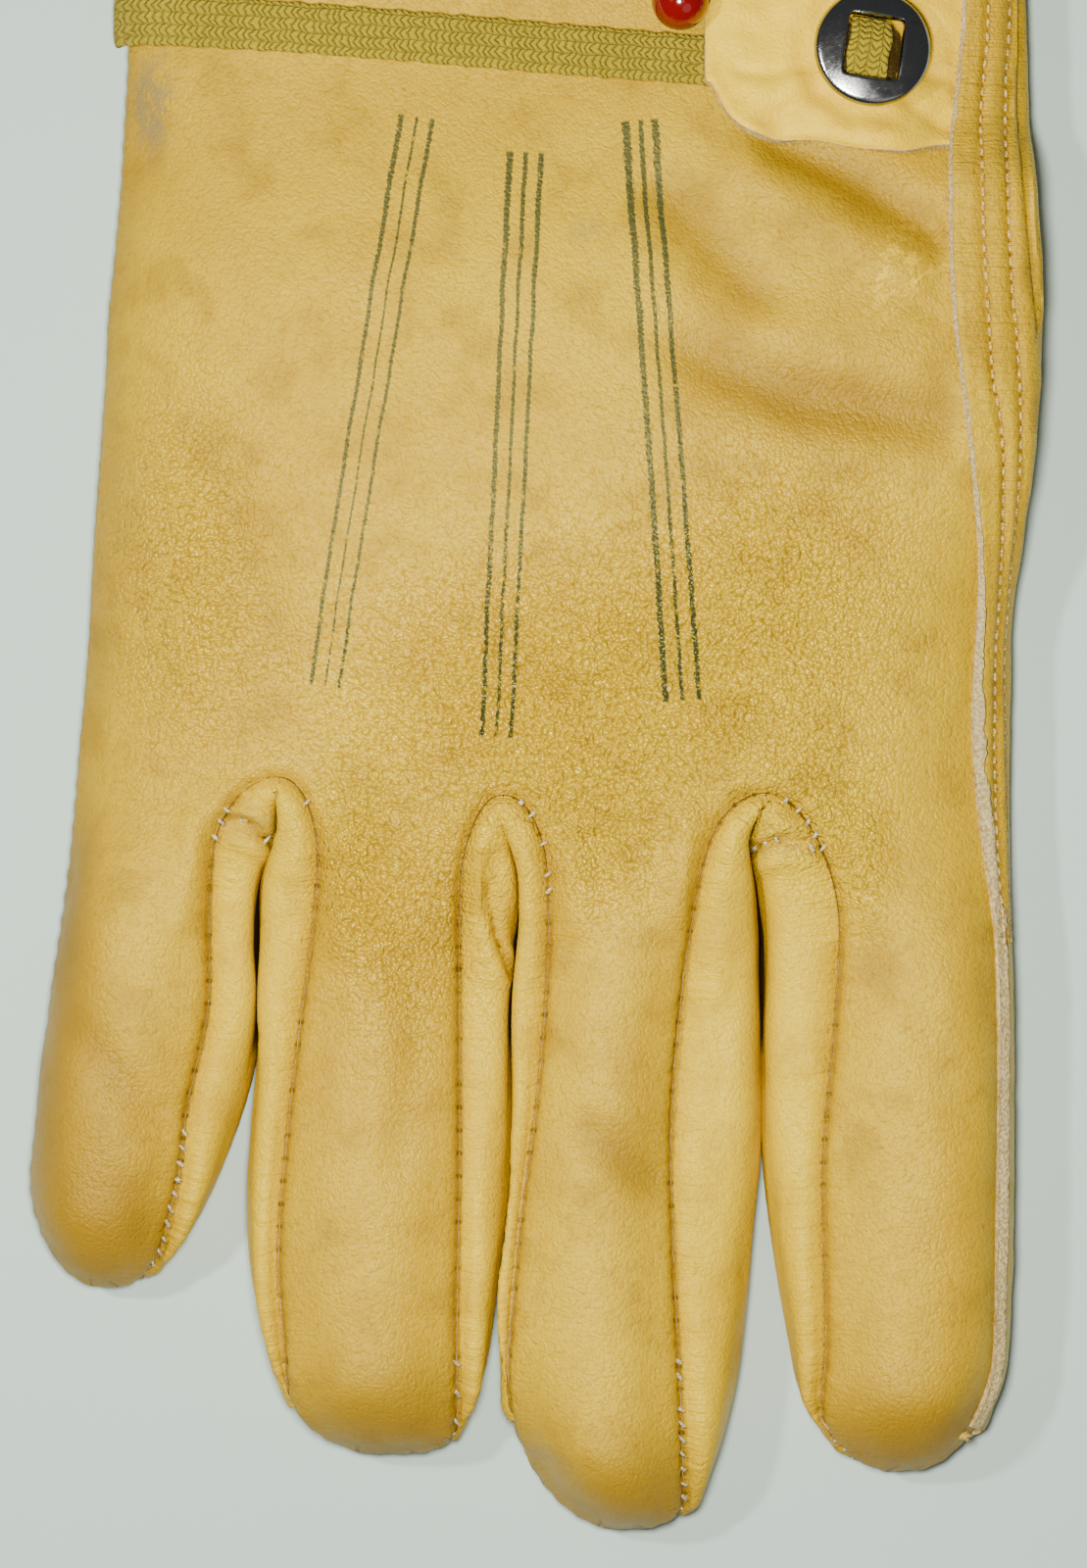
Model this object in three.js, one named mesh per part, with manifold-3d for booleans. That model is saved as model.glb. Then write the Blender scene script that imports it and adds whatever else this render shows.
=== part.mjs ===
// A leather work glove for the right hand, empty and laid palm down, with the thumb folded under the palm.
// Millimetres. +Z is up from the surface it lies on, +Y runs from the fingertips to the cuff, and +X is the
// thumb side. Every leather piece is a wall cut from smooth outer surfaces: neighbours share the points of
// their seam, and each then draws back from it by half the seam gap.
import * as THREE from "three";
import { mergeVertices } from "three/addons/utils/BufferGeometryUtils.js";
import Module from "manifold-3d";

// Driving sizes.
const LEATHER = 1;
const GAP = 0.3;
const CUFF_Y = 120; // the open end of the cuff
const EDGE_Z = 3; // height of the seam between back and palm, at the little finger's side and the fingertips
const LAP_Z = 5; // height of the back's edge inside the lap
const PALM_EDGE_Z = 0.6; // height of the palm's edge where a side wall meets it
const PALM_INSET = 1.2; // how far that edge lies under the side wall's bulge
const PALM_CROTCH = 5; // the palm's crotches lie this far nearer the fingertips
const CROTCH_EYE = 0.6; // side walls part this far from the crotch's middle where they begin
const LAP = LEATHER + GAP; // the palm's lap stands this far out from the back
const BLUNT = 0.5; // the ends of fingertips are this blunt
const ROLL = 11; // length of the rolled end of a fingertip
const SIDE_ROLL = 20; // length over which a side wall comes down at the tip
const ROWS = 12; // rows along a finger
const WALL_COLUMNS = 4; // columns down a side wall
const TAPE = { width: 6, thick: 1.2 };
const TAB = { left: 20, right: 52.5, centre: 55, half: 12.6, end: 12 };
const SLIDE = { x: 39.2, y: 54.2, radius: 6.9, rim: 0.9, crown: 2, hole: [6.6, 7.4], turn: -0.14 };
const BEAD = { x: 17.1, y: 60.2, radius: 3.5 };
const THUMB = {
  base: [43.4, 25], tip: [29, -12], baseRadius: 15.4, tipRadius: 12.4, // its flattened outline
  top: 8.2, mouth: [11, 8.5],
};
const HAND_ROWS = [CUFF_Y, 100, 82, 71, 64, 57, 50, 43, 35, 25, 14, 2, -10, -21];

const mix = (a, b, t) => a + (b - a) * t;
const clamp = (t) => Math.min(1, Math.max(0, t));
const smooth = (t) => clamp(t) ** 2 * (3 - 2 * clamp(t));
// A quarter circle: 0 at no distance from the end, 1 from the radius on.
function rounded(distance, radius) {
  if (distance >= radius) return 1;
  return Math.sqrt(Math.max(0, 1 - (1 - distance / radius) ** 2));
}

// A smooth curve of x against y through [y, x] points, flat beyond its ends.
function through(points) {
  const p = [...points].sort((a, b) => a[0] - b[0]);
  const slope = (i) => {
    const a = p[Math.max(i - 1, 0)];
    const b = p[Math.min(i + 1, p.length - 1)];
    return (b[1] - a[1]) / (b[0] - a[0]);
  };
  return (y) => {
    if (y <= p[0][0]) return p[0][1];
    if (y >= p.at(-1)[0]) return p.at(-1)[1];
    const i = p.findIndex((q) => q[0] > y) - 1;
    const h = p[i + 1][0] - p[i][0];
    const t = (y - p[i][0]) / h;
    const rise = p[i + 1][1] - p[i][1];
    const [a, b] = [slope(i) * h, slope(i + 1) * h];
    return p[i][1] + t * (a + t * (3 * rise - 2 * a - b + t * (a + b - 2 * rise)));
  };
}

// The glove's outline on each side, the cut edge of the palm's lap on the back, and the crown of the hand.
const outlineLeft = through([
  [CUFF_Y, -53.5], [95, -51], [70, -48.9], [55, -48.5], [24, -50.5], [-12, -53], [-37, -55], [-64, -58.3],
  [-78, -59.9],
]);
const outlineRight = through([
  [CUFF_Y, 59.3], [90, 58.4], [60, 58.4], [42, 59], [26, 59.9], [11, 59.3], [-2, 57.8], [-14, 56.7],
  [-40, 56.7], [-54, 57], [-87, 56.9], [-96, 56.5],
]);
const lapEdge = through([
  [CUFF_Y, 50.5], [60, 49.9], [43, 48.4], [24, 48.8], [12, 50.2], [-6, 51.9], [-24, 51.4], [-35, 52.2],
  [-52, 54.3], [-96, 54.1],
]);
const handCrown = through([
  [CUFF_Y, 12.5], [90, 12], [57, 11.4], [44, 13.2], [26, 16.2], [0, 17], [-20, 16], [-36, 15.2],
]);
const baseRight = (y) => outlineRight(y) - LAP; // where the back turns down inside the lap

const CROTCHES = [
  { x: -29.9, y: -30.7, arch: 9 },
  { x: -3.6, y: -32.8, arch: 10 },
  { x: 27.2, y: -32.6, arch: 15 },
];
const SIDE_Y = -31.5; // the crotch row's end at either side of the glove

// Where the side walls of neighbouring fingers bulge to. They touch from the crotch to where the fingers part.
const touch = [
  [[-30.7, -29.9], [-36, -30.5], [-43, -31.6], [-50, -32.5], [-63, -32.7]],
  [[-32.8, -3.6], [-43, -3.5], [-52, -3.1], [-68, -2.5], [-77, -2.6]],
  [[-32.6, 27.2], [-37, 26.9], [-42, 26.5], [-50, 27], [-74, 27]],
];
// Each finger: its crown and seam heights, its tip with the radius of each corner, the seams at either side of
// its back, where its side walls bulge to, and the row where each side wall ends.
const FINGERS = [
  {
    name: "little", crown: 14.5, seam: 10.5, tip: { x: -50, y: -91.3, left: 13, right: 5 },
    left: outlineLeft,
    right: through([
      [-33, -37], [-45.6, -38], [-58, -38.2], [-70, -40.7], [-77, -41.5], [-85, -43.4], [-91, -45],
    ]),
    bulgeRight: through([...touch[0], [-73.5, -35.7], [-84, -40.4], [-91, -46]]),
    endRight: 11,
  },
  {
    name: "ring", crown: 15.5, seam: 11, tip: { x: -17, y: -111.1, left: 8.5, right: 3 },
    left: through([
      [-34, -25.6], [-42, -25.6], [-60, -27.9], [-72, -29.3], [-87, -30.4], [-99, -29.7], [-111, -29.2],
    ]),
    right: through([[-35, -8.1], [-46, -8.5], [-76, -8.5], [-93, -8.8], [-111, -8.8]]),
    bulgeLeft: through([...touch[0], [-72, -33.6], [-80, -34.1], [-89, -33.6], [-99, -31.4], [-104, -29.6]]),
    bulgeRight: through([...touch[1], [-92, -4.4], [-101, -5.8], [-109, -8.8]]),
    endLeft: 10, endRight: 11,
  },
  {
    name: "middle", crown: 16, seam: 11.5, tip: { x: 10.9, y: -120, left: 19, right: 3.5 },
    left: through([[-35, 1.4], [-50, 1.4], [-68, 0.1], [-82, -1.8], [-101, -3.5]]),
    right: through([
      [-34, 18.6], [-43, 19.2], [-56, 17.7], [-70, 16.5], [-84, 16.6], [-103, 17.5], [-120, 18.2],
    ]),
    bulgeLeft: through([...touch[1], [-84, -3.2], [-92, -4.1], [-101, -3.8]]),
    bulgeRight: through([...touch[2], [-84, 26.1], [-94, 25.2], [-104, 23.8], [-114, 20.8], [-118, 19]]),
    endLeft: 9, endRight: 11,
  },
  {
    name: "index", crown: 15.5, seam: 11, tip: { x: 43.5, y: -113.1, left: 7.5, right: 17 },
    left: through([
      [-34, 34.6], [-46, 35.6], [-52, 35.7], [-64, 34.8], [-76, 33.8], [-98, 34.1], [-106, 33.6], [-113, 35],
    ]),
    right: baseRight,
    bulgeLeft: through([...touch[2], [-87, 28.4], [-98, 30.2], [-104, 31.6], [-110, 35.5], [-112, 37.5]]),
    endLeft: 11,
  },
];
FINGERS.forEach((f, i) => {
  f.crotchLeft = CROTCHES[i - 1];
  f.crotchRight = CROTCHES[i];
});
const LAP_END = 10; // the finger row where the palm's lap ends
const STRIP_COLUMNS = 6; // columns across a finger's back
const LAP_COLUMNS = 3; // more of them under the lap

// How far the palm is lifted off the surface by the thumb folded under it.
function palmLift(x, y) {
  const [ax, ay] = THUMB.base;
  const [bx, by] = THUMB.tip;
  const t = clamp(((x - ax) * (bx - ax) + (y - ay) * (by - ay)) / ((bx - ax) ** 2 + (by - ay) ** 2));
  const away = Math.hypot(x - mix(ax, bx, t), y - mix(ay, by, t)) - mix(THUMB.baseRadius, THUMB.tipRadius, t);
  return (THUMB.top + GAP) * (1 - smooth((away - 1.5) / 8));
}

// The outer surface of the back of the hand: an arch from one rolled side to the other.
function handZ(x, y) {
  const [left, right] = [outlineLeft(y), baseRight(y)];
  const u = (2 * x - left - right) / (right - left);
  const edge = u > 0 ? LAP_Z + 0.8 * palmLift(right - 3, y) : EDGE_Z;
  return mix(edge, handCrown(y), Math.sqrt(Math.max(0, 1 - Math.abs(u) ** 3.2)));
}

// The edge of a finger's back on one side (-1 left, 1 right): an arch at the crotch, a round corner at the tip.
function stripEdge(f, side, y) {
  const crotch = side < 0 ? f.crotchLeft : f.crotchRight;
  const corner = (side < 0 ? f.tip.left : f.tip.right) + BLUNT;
  let x = (side < 0 ? f.left : f.right)(y);
  if (crotch) x = mix(crotch.x, x, rounded(crotch.y - y, crotch.arch));
  return mix(f.tip.x, x, rounded(y - f.tip.y + BLUNT, corner));
}

// Along a finger, rows crowd together at the crotch and at the tip.
const rowShare = (j) => 0.5 - 0.5 * Math.cos((Math.PI * j) / ROWS);

// A point of the back on finger i, row j, column k, where row 0 is the crotch row.
function backPoint(i, j, k) {
  const f = FINGERS[i];
  const v = rowShare(j);
  const yl = mix(f.crotchLeft ? f.crotchLeft.y : SIDE_Y, f.tip.y, v);
  const yr = mix(f.crotchRight ? f.crotchRight.y : SIDE_Y, f.tip.y, v);
  const [xl, xr] = [stripEdge(f, -1, yl), stripEdge(f, 1, yr)];
  let c = k / STRIP_COLUMNS;
  if (!f.crotchLeft) c = 1 - Math.cos((Math.PI / 2) * c);
  if (!f.crotchRight) {
    const lap = mix(f.tip.x, lapEdge(yr), rounded(yr - f.tip.y + BLUNT, f.tip.right));
    const cut = Math.min(0.985, (lap - xl) / (xr - xl));
    const under = (k - STRIP_COLUMNS) / LAP_COLUMNS;
    c = under <= 0 ? cut * c : mix(cut, 1, Math.sin(under * (Math.PI / 2)));
  }
  const [x, y, u] = [mix(xl, xr, c), mix(yl, yr, c), 2 * c - 1];
  const outer = u < 0 ? !f.crotchLeft : !f.crotchRight;
  const tipward = y - f.tip.y;
  const sideZ = outer ? (u < 0 ? EDGE_Z : LAP_Z) : f.seam;
  const end = (u < 0 ? f.endLeft : f.endRight) ?? ROWS;
  const joined = Math.max(0, (SIDE_Y - f.tip.y) * (1 - rowShare(end)) - 4); // back and palm meet from here on
  const edge = mix(EDGE_Z, sideZ, rounded(Math.max(0, tipward - joined), SIDE_ROLL));
  const crown = mix(EDGE_Z, f.crown, rounded(tipward, ROLL));
  const arch = outer ? Math.sqrt(Math.max(0, 1 - Math.abs(u) ** 2.4)) : 1 - Math.abs(u) ** 2.2;
  const own = mix(edge, Math.max(edge, crown), arch);
  return [x, y, j === ROWS ? EDGE_Z : mix(handZ(x, y), own, smooth(v / 0.3))];
}

// A point of the back of the hand at height y along finger i's column k, carried on from the crotch row.
function handPoint(i, k, y) {
  const [x0, y0] = backPoint(i, 0, k);
  const [left, cut, right] = [outlineLeft(y), lapEdge(y), baseRight(y)];
  const beyond = i === 3 ? k - STRIP_COLUMNS : 0;
  const x = beyond > 0
    ? mix(cut, right, Math.sin((beyond / LAP_COLUMNS) * (Math.PI / 2)))
    : mix(left, cut, (x0 - outlineLeft(y0)) / (lapEdge(y0) - outlineLeft(y0)));
  return [x, y, handZ(x, y)];
}

// --- Surfaces --------------------------------------------------------------
// A surface is a list of points and of triangles that face out. Points at the same place are one point.
class Surface {
  constructor() {
    this.points = [];
    this.triangles = [];
    this.index = new Map();
  }
  add(point) {
    const key = place(point);
    if (!this.index.has(key)) {
      this.index.set(key, this.points.length);
      this.points.push(new THREE.Vector3(...point));
    }
    return this.index.get(key);
  }
  // rows of equally many points; flip turns the faces round
  grid(rows, flip = false) {
    const at = rows.map((row) => row.map((point) => this.add(point)));
    for (let j = 0; j + 1 < at.length; j++)
      for (let k = 0; k + 1 < at[j].length; k++) {
        const [a, b, c, d] = [at[j][k], at[j][k + 1], at[j + 1][k + 1], at[j + 1][k]];
        for (const [p, q, r] of [[a, b, c], [a, c, d]])
          if (p !== q && q !== r && r !== p) this.triangles.push(flip ? [p, r, q] : [p, q, r]);
      }
    return this;
  }
  normals() {
    const sums = this.points.map(() => new THREE.Vector3());
    for (const [a, b, c] of this.triangles) {
      const [p, q, r] = [a, b, c].map((n) => this.points[n]);
      const n = q.clone().sub(p).cross(r.clone().sub(p));
      for (const m of [a, b, c]) sums[m].add(n);
    }
    return sums;
  }
}
const place = (point) => point.map((v) => Math.round(v * 500)).join();

// Walls for surfaces that are sewn together: at a shared point each wall is cut along the same mitre.
function walls(surfaces, thick) {
  const shared = new Map();
  const all = surfaces.map((s) => s.normals());
  surfaces.forEach((s, i) => s.points.forEach((p, n) => {
    const key = place(p.toArray());
    shared.set(key, (shared.get(key) ?? new THREE.Vector3()).add(all[i][n].clone().normalize()));
  }));
  return surfaces.map((s) => {
    const normals = s.points.map((p) => shared.get(place(p.toArray())).clone().normalize());
    const edges = new Map();
    for (const [a, b, c] of s.triangles)
      for (const [p, q, r] of [[a, b, c], [b, c, a], [c, a, b]]) edges.set(p + "," + q, [p, q, r]);
    const rim = [...edges.values()].filter(([p, q]) => !edges.has(q + "," + p));
    const inward = new Map();
    for (const [p, q, r] of rim) {
      const along = s.points[q].clone().sub(s.points[p]).normalize();
      const across = s.points[r].clone().sub(s.points[p]);
      across.addScaledVector(along, -across.dot(along)).normalize();
      for (const n of [p, q]) inward.set(n, (inward.get(n) ?? new THREE.Vector3()).add(across));
    }
    const positions = [];
    s.points.forEach((p, n) => {
      const moved = p.clone();
      if (inward.has(n)) moved.addScaledVector(inward.get(n), GAP / Math.max(inward.get(n).lengthSq(), 0.06));
      positions.push(...moved.toArray());
    });
    s.points.forEach((p, n) => {
      const moved = new THREE.Vector3(...positions.slice(3 * n, 3 * n + 3));
      positions.push(...moved.addScaledVector(normals[n], -thick).toArray());
    });
    const m = s.points.length;
    const faces = [];
    for (const [a, b, c] of s.triangles) faces.push(a, b, c, a + m, c + m, b + m);
    for (const [p, q] of rim) faces.push(q, p, p + m, q, p + m, q + m);
    const geometry = new THREE.BufferGeometry();
    geometry.setAttribute("position", new THREE.Float32BufferAttribute(positions, 3));
    geometry.setIndex(faces);
    return geometry;
  });
}

// --- The leather pieces -------------------------------------------------------
const fingerRows = [...Array(ROWS + 1).keys()];
const columns = (i) => [...Array(STRIP_COLUMNS + (i === 3 ? LAP_COLUMNS : 0) + 1).keys()];

function backSurface() {
  const back = new Surface();
  FINGERS.forEach((f, i) => {
    const hand = HAND_ROWS.map((y) => columns(i).map((k) => handPoint(i, k, y)));
    const finger = fingerRows.map((j) => columns(i).map((k) => backPoint(i, j, k)));
    back.grid([...hand, ...finger], true);
  });
  return back;
}

// The palm's edge on one side of finger i at row j: under a side wall, or on the back's own edge beyond it.
function palmEdge(i, side, j) {
  const f = FINGERS[i];
  const crotch = side < 0 ? f.crotchLeft : f.crotchRight;
  const end = side < 0 ? f.endLeft : f.endRight;
  if (!crotch || j >= end) return backPoint(i, j, side < 0 ? 0 : columns(i).at(-1));
  const y = mix(crotch.y - PALM_CROTCH, f.tip.y, rowShare(j));
  const under = (side < 0 ? f.bulgeLeft : f.bulgeRight)(y) - side * PALM_INSET;
  const x = mix(crotch.x, under, rounded(crotch.y - PALM_CROTCH - y, PALM_CROTCH));
  return [x, y, PALM_EDGE_Z + palmLift(x, y)];
}

const PALM_SHARES = [0, 0.1, 0.3, 0.5, 0.7, 0.9, 1];
const PALM_TURN = 4.5; // radius the palm turns up with on the thumb side
// A row of the palm between two edge points, down on the surface or over the thumb. Where it turns up on the
// thumb side it has as many more columns as the back has under the lap.
function palmRow(left, right, turnsUp) {
  const flatEnd = right[0] - PALM_TURN;
  const row = PALM_SHARES.map((c) => {
    if (c === 0) return left;
    if (c === 1 && !turnsUp) return right;
    const [x, y] = [mix(left[0], turnsUp ? flatEnd : right[0], c), mix(left[1], right[1], c)];
    return [x, y, palmLift(x, y)];
  });
  if (!turnsUp) return row;
  const base = row.at(-1)[2];
  for (let k = 1; k < LAP_COLUMNS; k++) {
    const turn = (k / LAP_COLUMNS) * (Math.PI / 2);
    row.push([flatEnd + PALM_TURN * Math.sin(turn), right[1], mix(right[2], base, Math.cos(turn))]);
  }
  return [...row, right];
}

// The palm, which wraps round the thumb side and laps onto the back.
function palmSurface(back) {
  const normals = back.normals();
  const handRows = HAND_ROWS.length;
  const edge = columns(3).slice(STRIP_COLUMNS).reverse();
  const backAt = (r, k) => (r < handRows ? handPoint(3, k, HAND_ROWS[r]) : backPoint(3, r - handRows, k));
  const lapped = (r, k) => {
    const point = backAt(r, k);
    const normal = normals[back.add(point)].clone();
    const side = k - STRIP_COLUMNS;
    if (side === LAP_COLUMNS) normal.z = 0;
    const over = tabUnderLap(point[1]) * Math.min(1, (LAP_COLUMNS - side) / 2);
    return new THREE.Vector3(...point).addScaledVector(normal.normalize(), LAP + over).toArray();
  };
  const outermost = (r) => (r <= handRows + LAP_END ? lapped(r, edge[0]) : backAt(r, edge[0]));
  const palm = new Surface();
  const handRow = (r) => {
    const last = HAND_ROWS.at(-1);
    const y = mix(CUFF_Y, last - PALM_CROTCH, (CUFF_Y - HAND_ROWS[r]) / (CUFF_Y - last));
    const below = (crotch) => {
      const share = (crotch.x - outlineLeft(SIDE_Y)) / (baseRight(SIDE_Y) - outlineLeft(SIDE_Y));
      const x = mix(outlineLeft(y), baseRight(y), share);
      return [x, y, palmLift(x, y)];
    };
    return FINGERS.map((f, i) => {
      const left = i === 0 ? handPoint(0, 0, HAND_ROWS[r]) : below(CROTCHES[i - 1]);
      return palmRow(left, i === 3 ? outermost(r) : below(CROTCHES[i]), i === 3);
    });
  };
  const hands = HAND_ROWS.map((y, r) => handRow(r));
  FINGERS.forEach((f, i) => {
    const finger = fingerRows.map((j) => {
      if (j === ROWS) return columns(i).map((k) => backPoint(i, j, k));
      return palmRow(palmEdge(i, -1, j), i === 3 ? outermost(handRows + j) : palmEdge(i, 1, j), i === 3);
    });
    palm.grid([...hands.map((h) => h[i]), ...finger]);
  });
  const lap = [];
  for (let r = 0; r <= handRows + LAP_END; r++) lap.push(edge.map((k) => lapped(r, k)));
  return palm.grid(lap);
}

// The lap is lifted where the tab is caught under it.
function tabUnderLap(y) {
  return (LAP + 0.1) * (1 - smooth((Math.abs(y - TAB.centre) - TAB.half - 2) / 8));
}

// The side wall sewn between the back and the palm on one side of a finger.
function wallSurface(i, side) {
  const f = FINGERS[i];
  const bulge = side < 0 ? f.bulgeLeft : f.bulgeRight;
  const end = side < 0 ? f.endLeft : f.endRight;
  const crotch = side < 0 ? f.crotchLeft : f.crotchRight;
  const rows = [];
  for (let j = 0; j <= end; j++) {
    const top = backPoint(i, j, side < 0 ? 0 : STRIP_COLUMNS);
    const low = palmEdge(i, side, j);
    const row = [];
    for (let m = 0; m <= WALL_COLUMNS; m++) {
      const t = m / WALL_COLUMNS;
      const y = mix(top[1], low[1], t);
      const parted = mix(CROTCH_EYE, GAP / 2, rounded(crotch.y - y, 6));
      const out = j === 0 ? mix(top[0], low[0], t) : bulge(y) - side * parted;
      const wide = Math.max(0, side * (out - top[0]));
      const waist = Math.max(Math.min(5, mix(top[2], low[2], 0.6)), top[2] - 0.9 * wide - 1);
      const turn = t <= 0.5 ? t * Math.PI : (t - 0.5) * Math.PI;
      if (j === 0 || j === end) row.push([mix(top[0], low[0], t), y, mix(top[2], low[2], t)]);
      else if (m === WALL_COLUMNS) row.push(low);
      else if (t <= 0.5) row.push([mix(top[0], out, Math.sin(turn)), y, mix(waist, top[2], Math.cos(turn))]);
      else row.push([mix(low[0], out, Math.cos(turn)), y, mix(waist, low[2], Math.sin(turn))]);
    }
    rows.push(row);
  }
  return new Surface().grid(rows, side > 0);
}

// The thumb, flattened: one half of its closed outline, above or below its side seam.
function thumbSurface(upper) {
  const [ax, ay] = THUMB.base;
  const [bx, by] = THUMB.tip;
  const long = Math.hypot(bx - ax, by - ay);
  const along = [(bx - ax) / long, (by - ay) / long];
  const seam = THUMB.top / 2;
  const rows = [];
  const steps = 11;
  for (let j = 0; j <= steps; j++) {
    const q = mix(-THUMB.baseRadius, long + THUMB.tipRadius, 0.5 - 0.5 * Math.cos((Math.PI * j) / steps));
    const half = mix(THUMB.baseRadius, THUMB.tipRadius, clamp(q / long))
      * rounded(q + THUMB.baseRadius + BLUNT, THUMB.baseRadius + BLUNT)
      * rounded(long + THUMB.tipRadius + BLUNT - q, THUMB.tipRadius + BLUNT);
    const rise = Math.min(rounded(q + THUMB.baseRadius, 6), rounded(long + THUMB.tipRadius - q, 6)) * seam;
    const row = [];
    for (let k = 0; k <= 7; k++) {
      const u = -Math.cos((Math.PI * k) / 7);
      const away = Math.sqrt(Math.max(0, 1 - Math.abs(u) ** 4)) * rise;
      row.push([
        ax + along[0] * q + along[1] * u * half,
        ay + along[1] * q - along[0] * u * half,
        seam + (upper ? away : -away),
      ]);
    }
    rows.push(row);
  }
  return new Surface().grid(rows, !upper);
}

// --- Things that lie on the back ----------------------------------------------
// A point lifted off the back of the hand along its own normal.
function lifted(x, y, lift) {
  const step = 0.05;
  const across = handZ(x - step, y) - handZ(x + step, y);
  const along = handZ(x, y - step) - handZ(x, y + step);
  const normal = new THREE.Vector3(across, along, 2 * step).normalize();
  return new THREE.Vector3(x, y, handZ(x, y)).addScaledVector(normal, lift).toArray();
}

const CLEAR = GAP + 0.2; // a little more where facets bridge a curve
const tapeTop = CLEAR + TAPE.thick;
const tapeY = (x) => 53.6 - 0.086 * (x - 16);

// The tape: caught in the seam at the little finger's side, over the back, and in under the tab.
function tapeSurface() {
  const rows = [];
  const steps = 24;
  const end = 33;
  for (let s = 0; s <= steps; s++) {
    const left = outlineLeft(tapeY(-48));
    const x = left + 0.02 + (end - left) * (s < 5 ? 0.06 * (s / 5) ** 3 : mix(0.06, 1, (s - 5) / (steps - 5)));
    rows.push([-1, -0.35, 0.35, 1].map((c) => lifted(x, tapeY(x) + (c * TAPE.width) / 2, tapeTop)));
  }
  return new Surface().grid(rows, true);
}

// The loose end of the tape, from the bead in under the tab.
function tailSurface() {
  const rows = [];
  for (let x = 20.6; x <= 33.1; x += 2.5)
    rows.push([-1, 0, 1].map((c) => lifted(x, BEAD.y + (c * TAPE.width) / 2, tapeTop)));
  return new Surface().grid(rows, true);
}

// Height of the tab's outer face off the back: over the tape, then down to be caught under the lap.
const tabLift = (x) => LEATHER + mix(tapeTop + GAP + 0.15, CLEAR, smooth((x - 40) / 8));

function tabSurface() {
  const rows = [];
  const steps = 12;
  for (let s = 0; s <= steps; s++) {
    const t = s / steps;
    const x = mix(TAB.left, TAB.right, t < 0.5 ? 2 * t ** 2 : t);
    const half = TAB.half * rounded(x - TAB.left + BLUNT, TAB.end);
    rows.push([-1, -0.6, -0.2, 0.2, 0.6, 1].map((c) => lifted(x, TAB.centre + c * half, tabLift(x))));
  }
  return new Surface().grid(rows, true);
}

// --- Solids --------------------------------------------------------------------
const wasm = await Module();
wasm.setup();

function solid(geometry) {
  const bare = geometry.clone();
  for (const name of ["normal", "uv"]) bare.deleteAttribute(name);
  const merged = mergeVertices(bare, 1e-4);
  return new wasm.Manifold(new wasm.Mesh({
    numProp: 3,
    vertProperties: merged.getAttribute("position").array,
    triVerts: new Uint32Array(merged.index.array),
  }));
}

function geometryOf(manifold) {
  const { vertProperties, triVerts } = manifold.getMesh();
  const geometry = new THREE.BufferGeometry();
  geometry.setAttribute("position", new THREE.Float32BufferAttribute(vertProperties, 3));
  geometry.setIndex([...triVerts]);
  return geometry;
}

// The thumb's mouth: an oval through the palm and the thumb's upper half.
function mouth() {
  const [ax, ay] = THUMB.base;
  const [bx, by] = THUMB.tip;
  const turn = Math.atan2(by - ay, bx - ax);
  const oval = new THREE.Shape().absellipse(0, 0, ...THUMB.mouth, 0, 2 * Math.PI, false, turn);
  const prism = new THREE.ExtrudeGeometry(oval, { depth: 8, bevelEnabled: false, curveSegments: 16 });
  return solid(prism.translate(ax - 1.5, ay - 2, THUMB.top / 2 + 1.5));
}

// The slide: a domed disc with a square hole, set square to the back under it.
function slideGeometry() {
  const { radius, rim, crown, hole } = SLIDE;
  const profile = [
    [0, 0], [radius - 0.5, 0], [radius, 0.4], [radius, rim], [radius - 0.7, rim + 0.5],
    [radius * 0.55, crown - 0.15], [0, crown],
  ].map(([r, h]) => new THREE.Vector2(r, h));
  const disc = new THREE.LatheGeometry(profile, 24).rotateX(Math.PI / 2);
  const cut = new THREE.BoxGeometry(...hole, 4 * crown).rotateZ(SLIDE.turn);
  return geometryOf(solid(disc).subtract(solid(cut)));
}

// The fold of tape that shows in the slide's hole.
function foldGeometry() {
  const [wide, long] = [SLIDE.hole[0] - 1, SLIDE.hole[1] - 2 * GAP];
  const shape = new THREE.Shape();
  shape.moveTo(-long / 2, 0);
  shape.lineTo(-long / 2, 0.3);
  shape.quadraticCurveTo(0, 2.6, long / 2, 0.3);
  shape.lineTo(long / 2, 0);
  const fold = new THREE.ExtrudeGeometry(shape, { depth: wide, bevelEnabled: false, curveSegments: 8 });
  fold.translate(0, 0, -wide / 2).rotateY(Math.PI / 2).rotateX(Math.PI / 2);
  return fold.rotateZ(SLIDE.turn + Math.PI);
}

const finish = (color, roughness, metalness = 0) =>
  new THREE.MeshStandardMaterial({ color, roughness, metalness, side: THREE.DoubleSide });
const leather = finish(0xcba555, 0.55);
const paleLeather = finish(0xdcc07c, 0.6);
const sideLeather = finish(0xc9ac5c, 0.6);
const cotton = finish(0xa79c58, 0.9);
const steel = finish(0x9a9c9a, 0.25, 1);
const red = finish(0xb01812, 0.2);

const glove = new THREE.Group();
function put(name, geometry, material) {
  const mesh = new THREE.Mesh(geometry, material);
  mesh.name = name;
  glove.add(mesh);
  return mesh;
}

const back = backSurface();
const sides = FINGERS.flatMap((f, i) => [...(f.bulgeLeft ? [[i, -1]] : []), ...(f.bulgeRight ? [[i, 1]] : [])]);
const sewn = [back, palmSurface(back), ...sides.map(([i, side]) => wallSurface(i, side))];
const [backWall, palmWall, ...sideWalls] = walls(sewn, LEATHER);
put("back", backWall, leather);
put("palm", geometryOf(solid(palmWall).subtract(mouth())), leather);
sides.forEach(([i, side], n) => {
  put(`fourchette_${FINGERS[i].name}_${side < 0 ? "l" : "r"}`, sideWalls[n], sideLeather);
});

const [thumbUpper, thumbLower] = walls([thumbSurface(true), thumbSurface(false)], LEATHER);
put("thumb_upper", geometryOf(solid(thumbUpper).subtract(mouth())), leather);
put("thumb_lower", thumbLower, leather);

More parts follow.
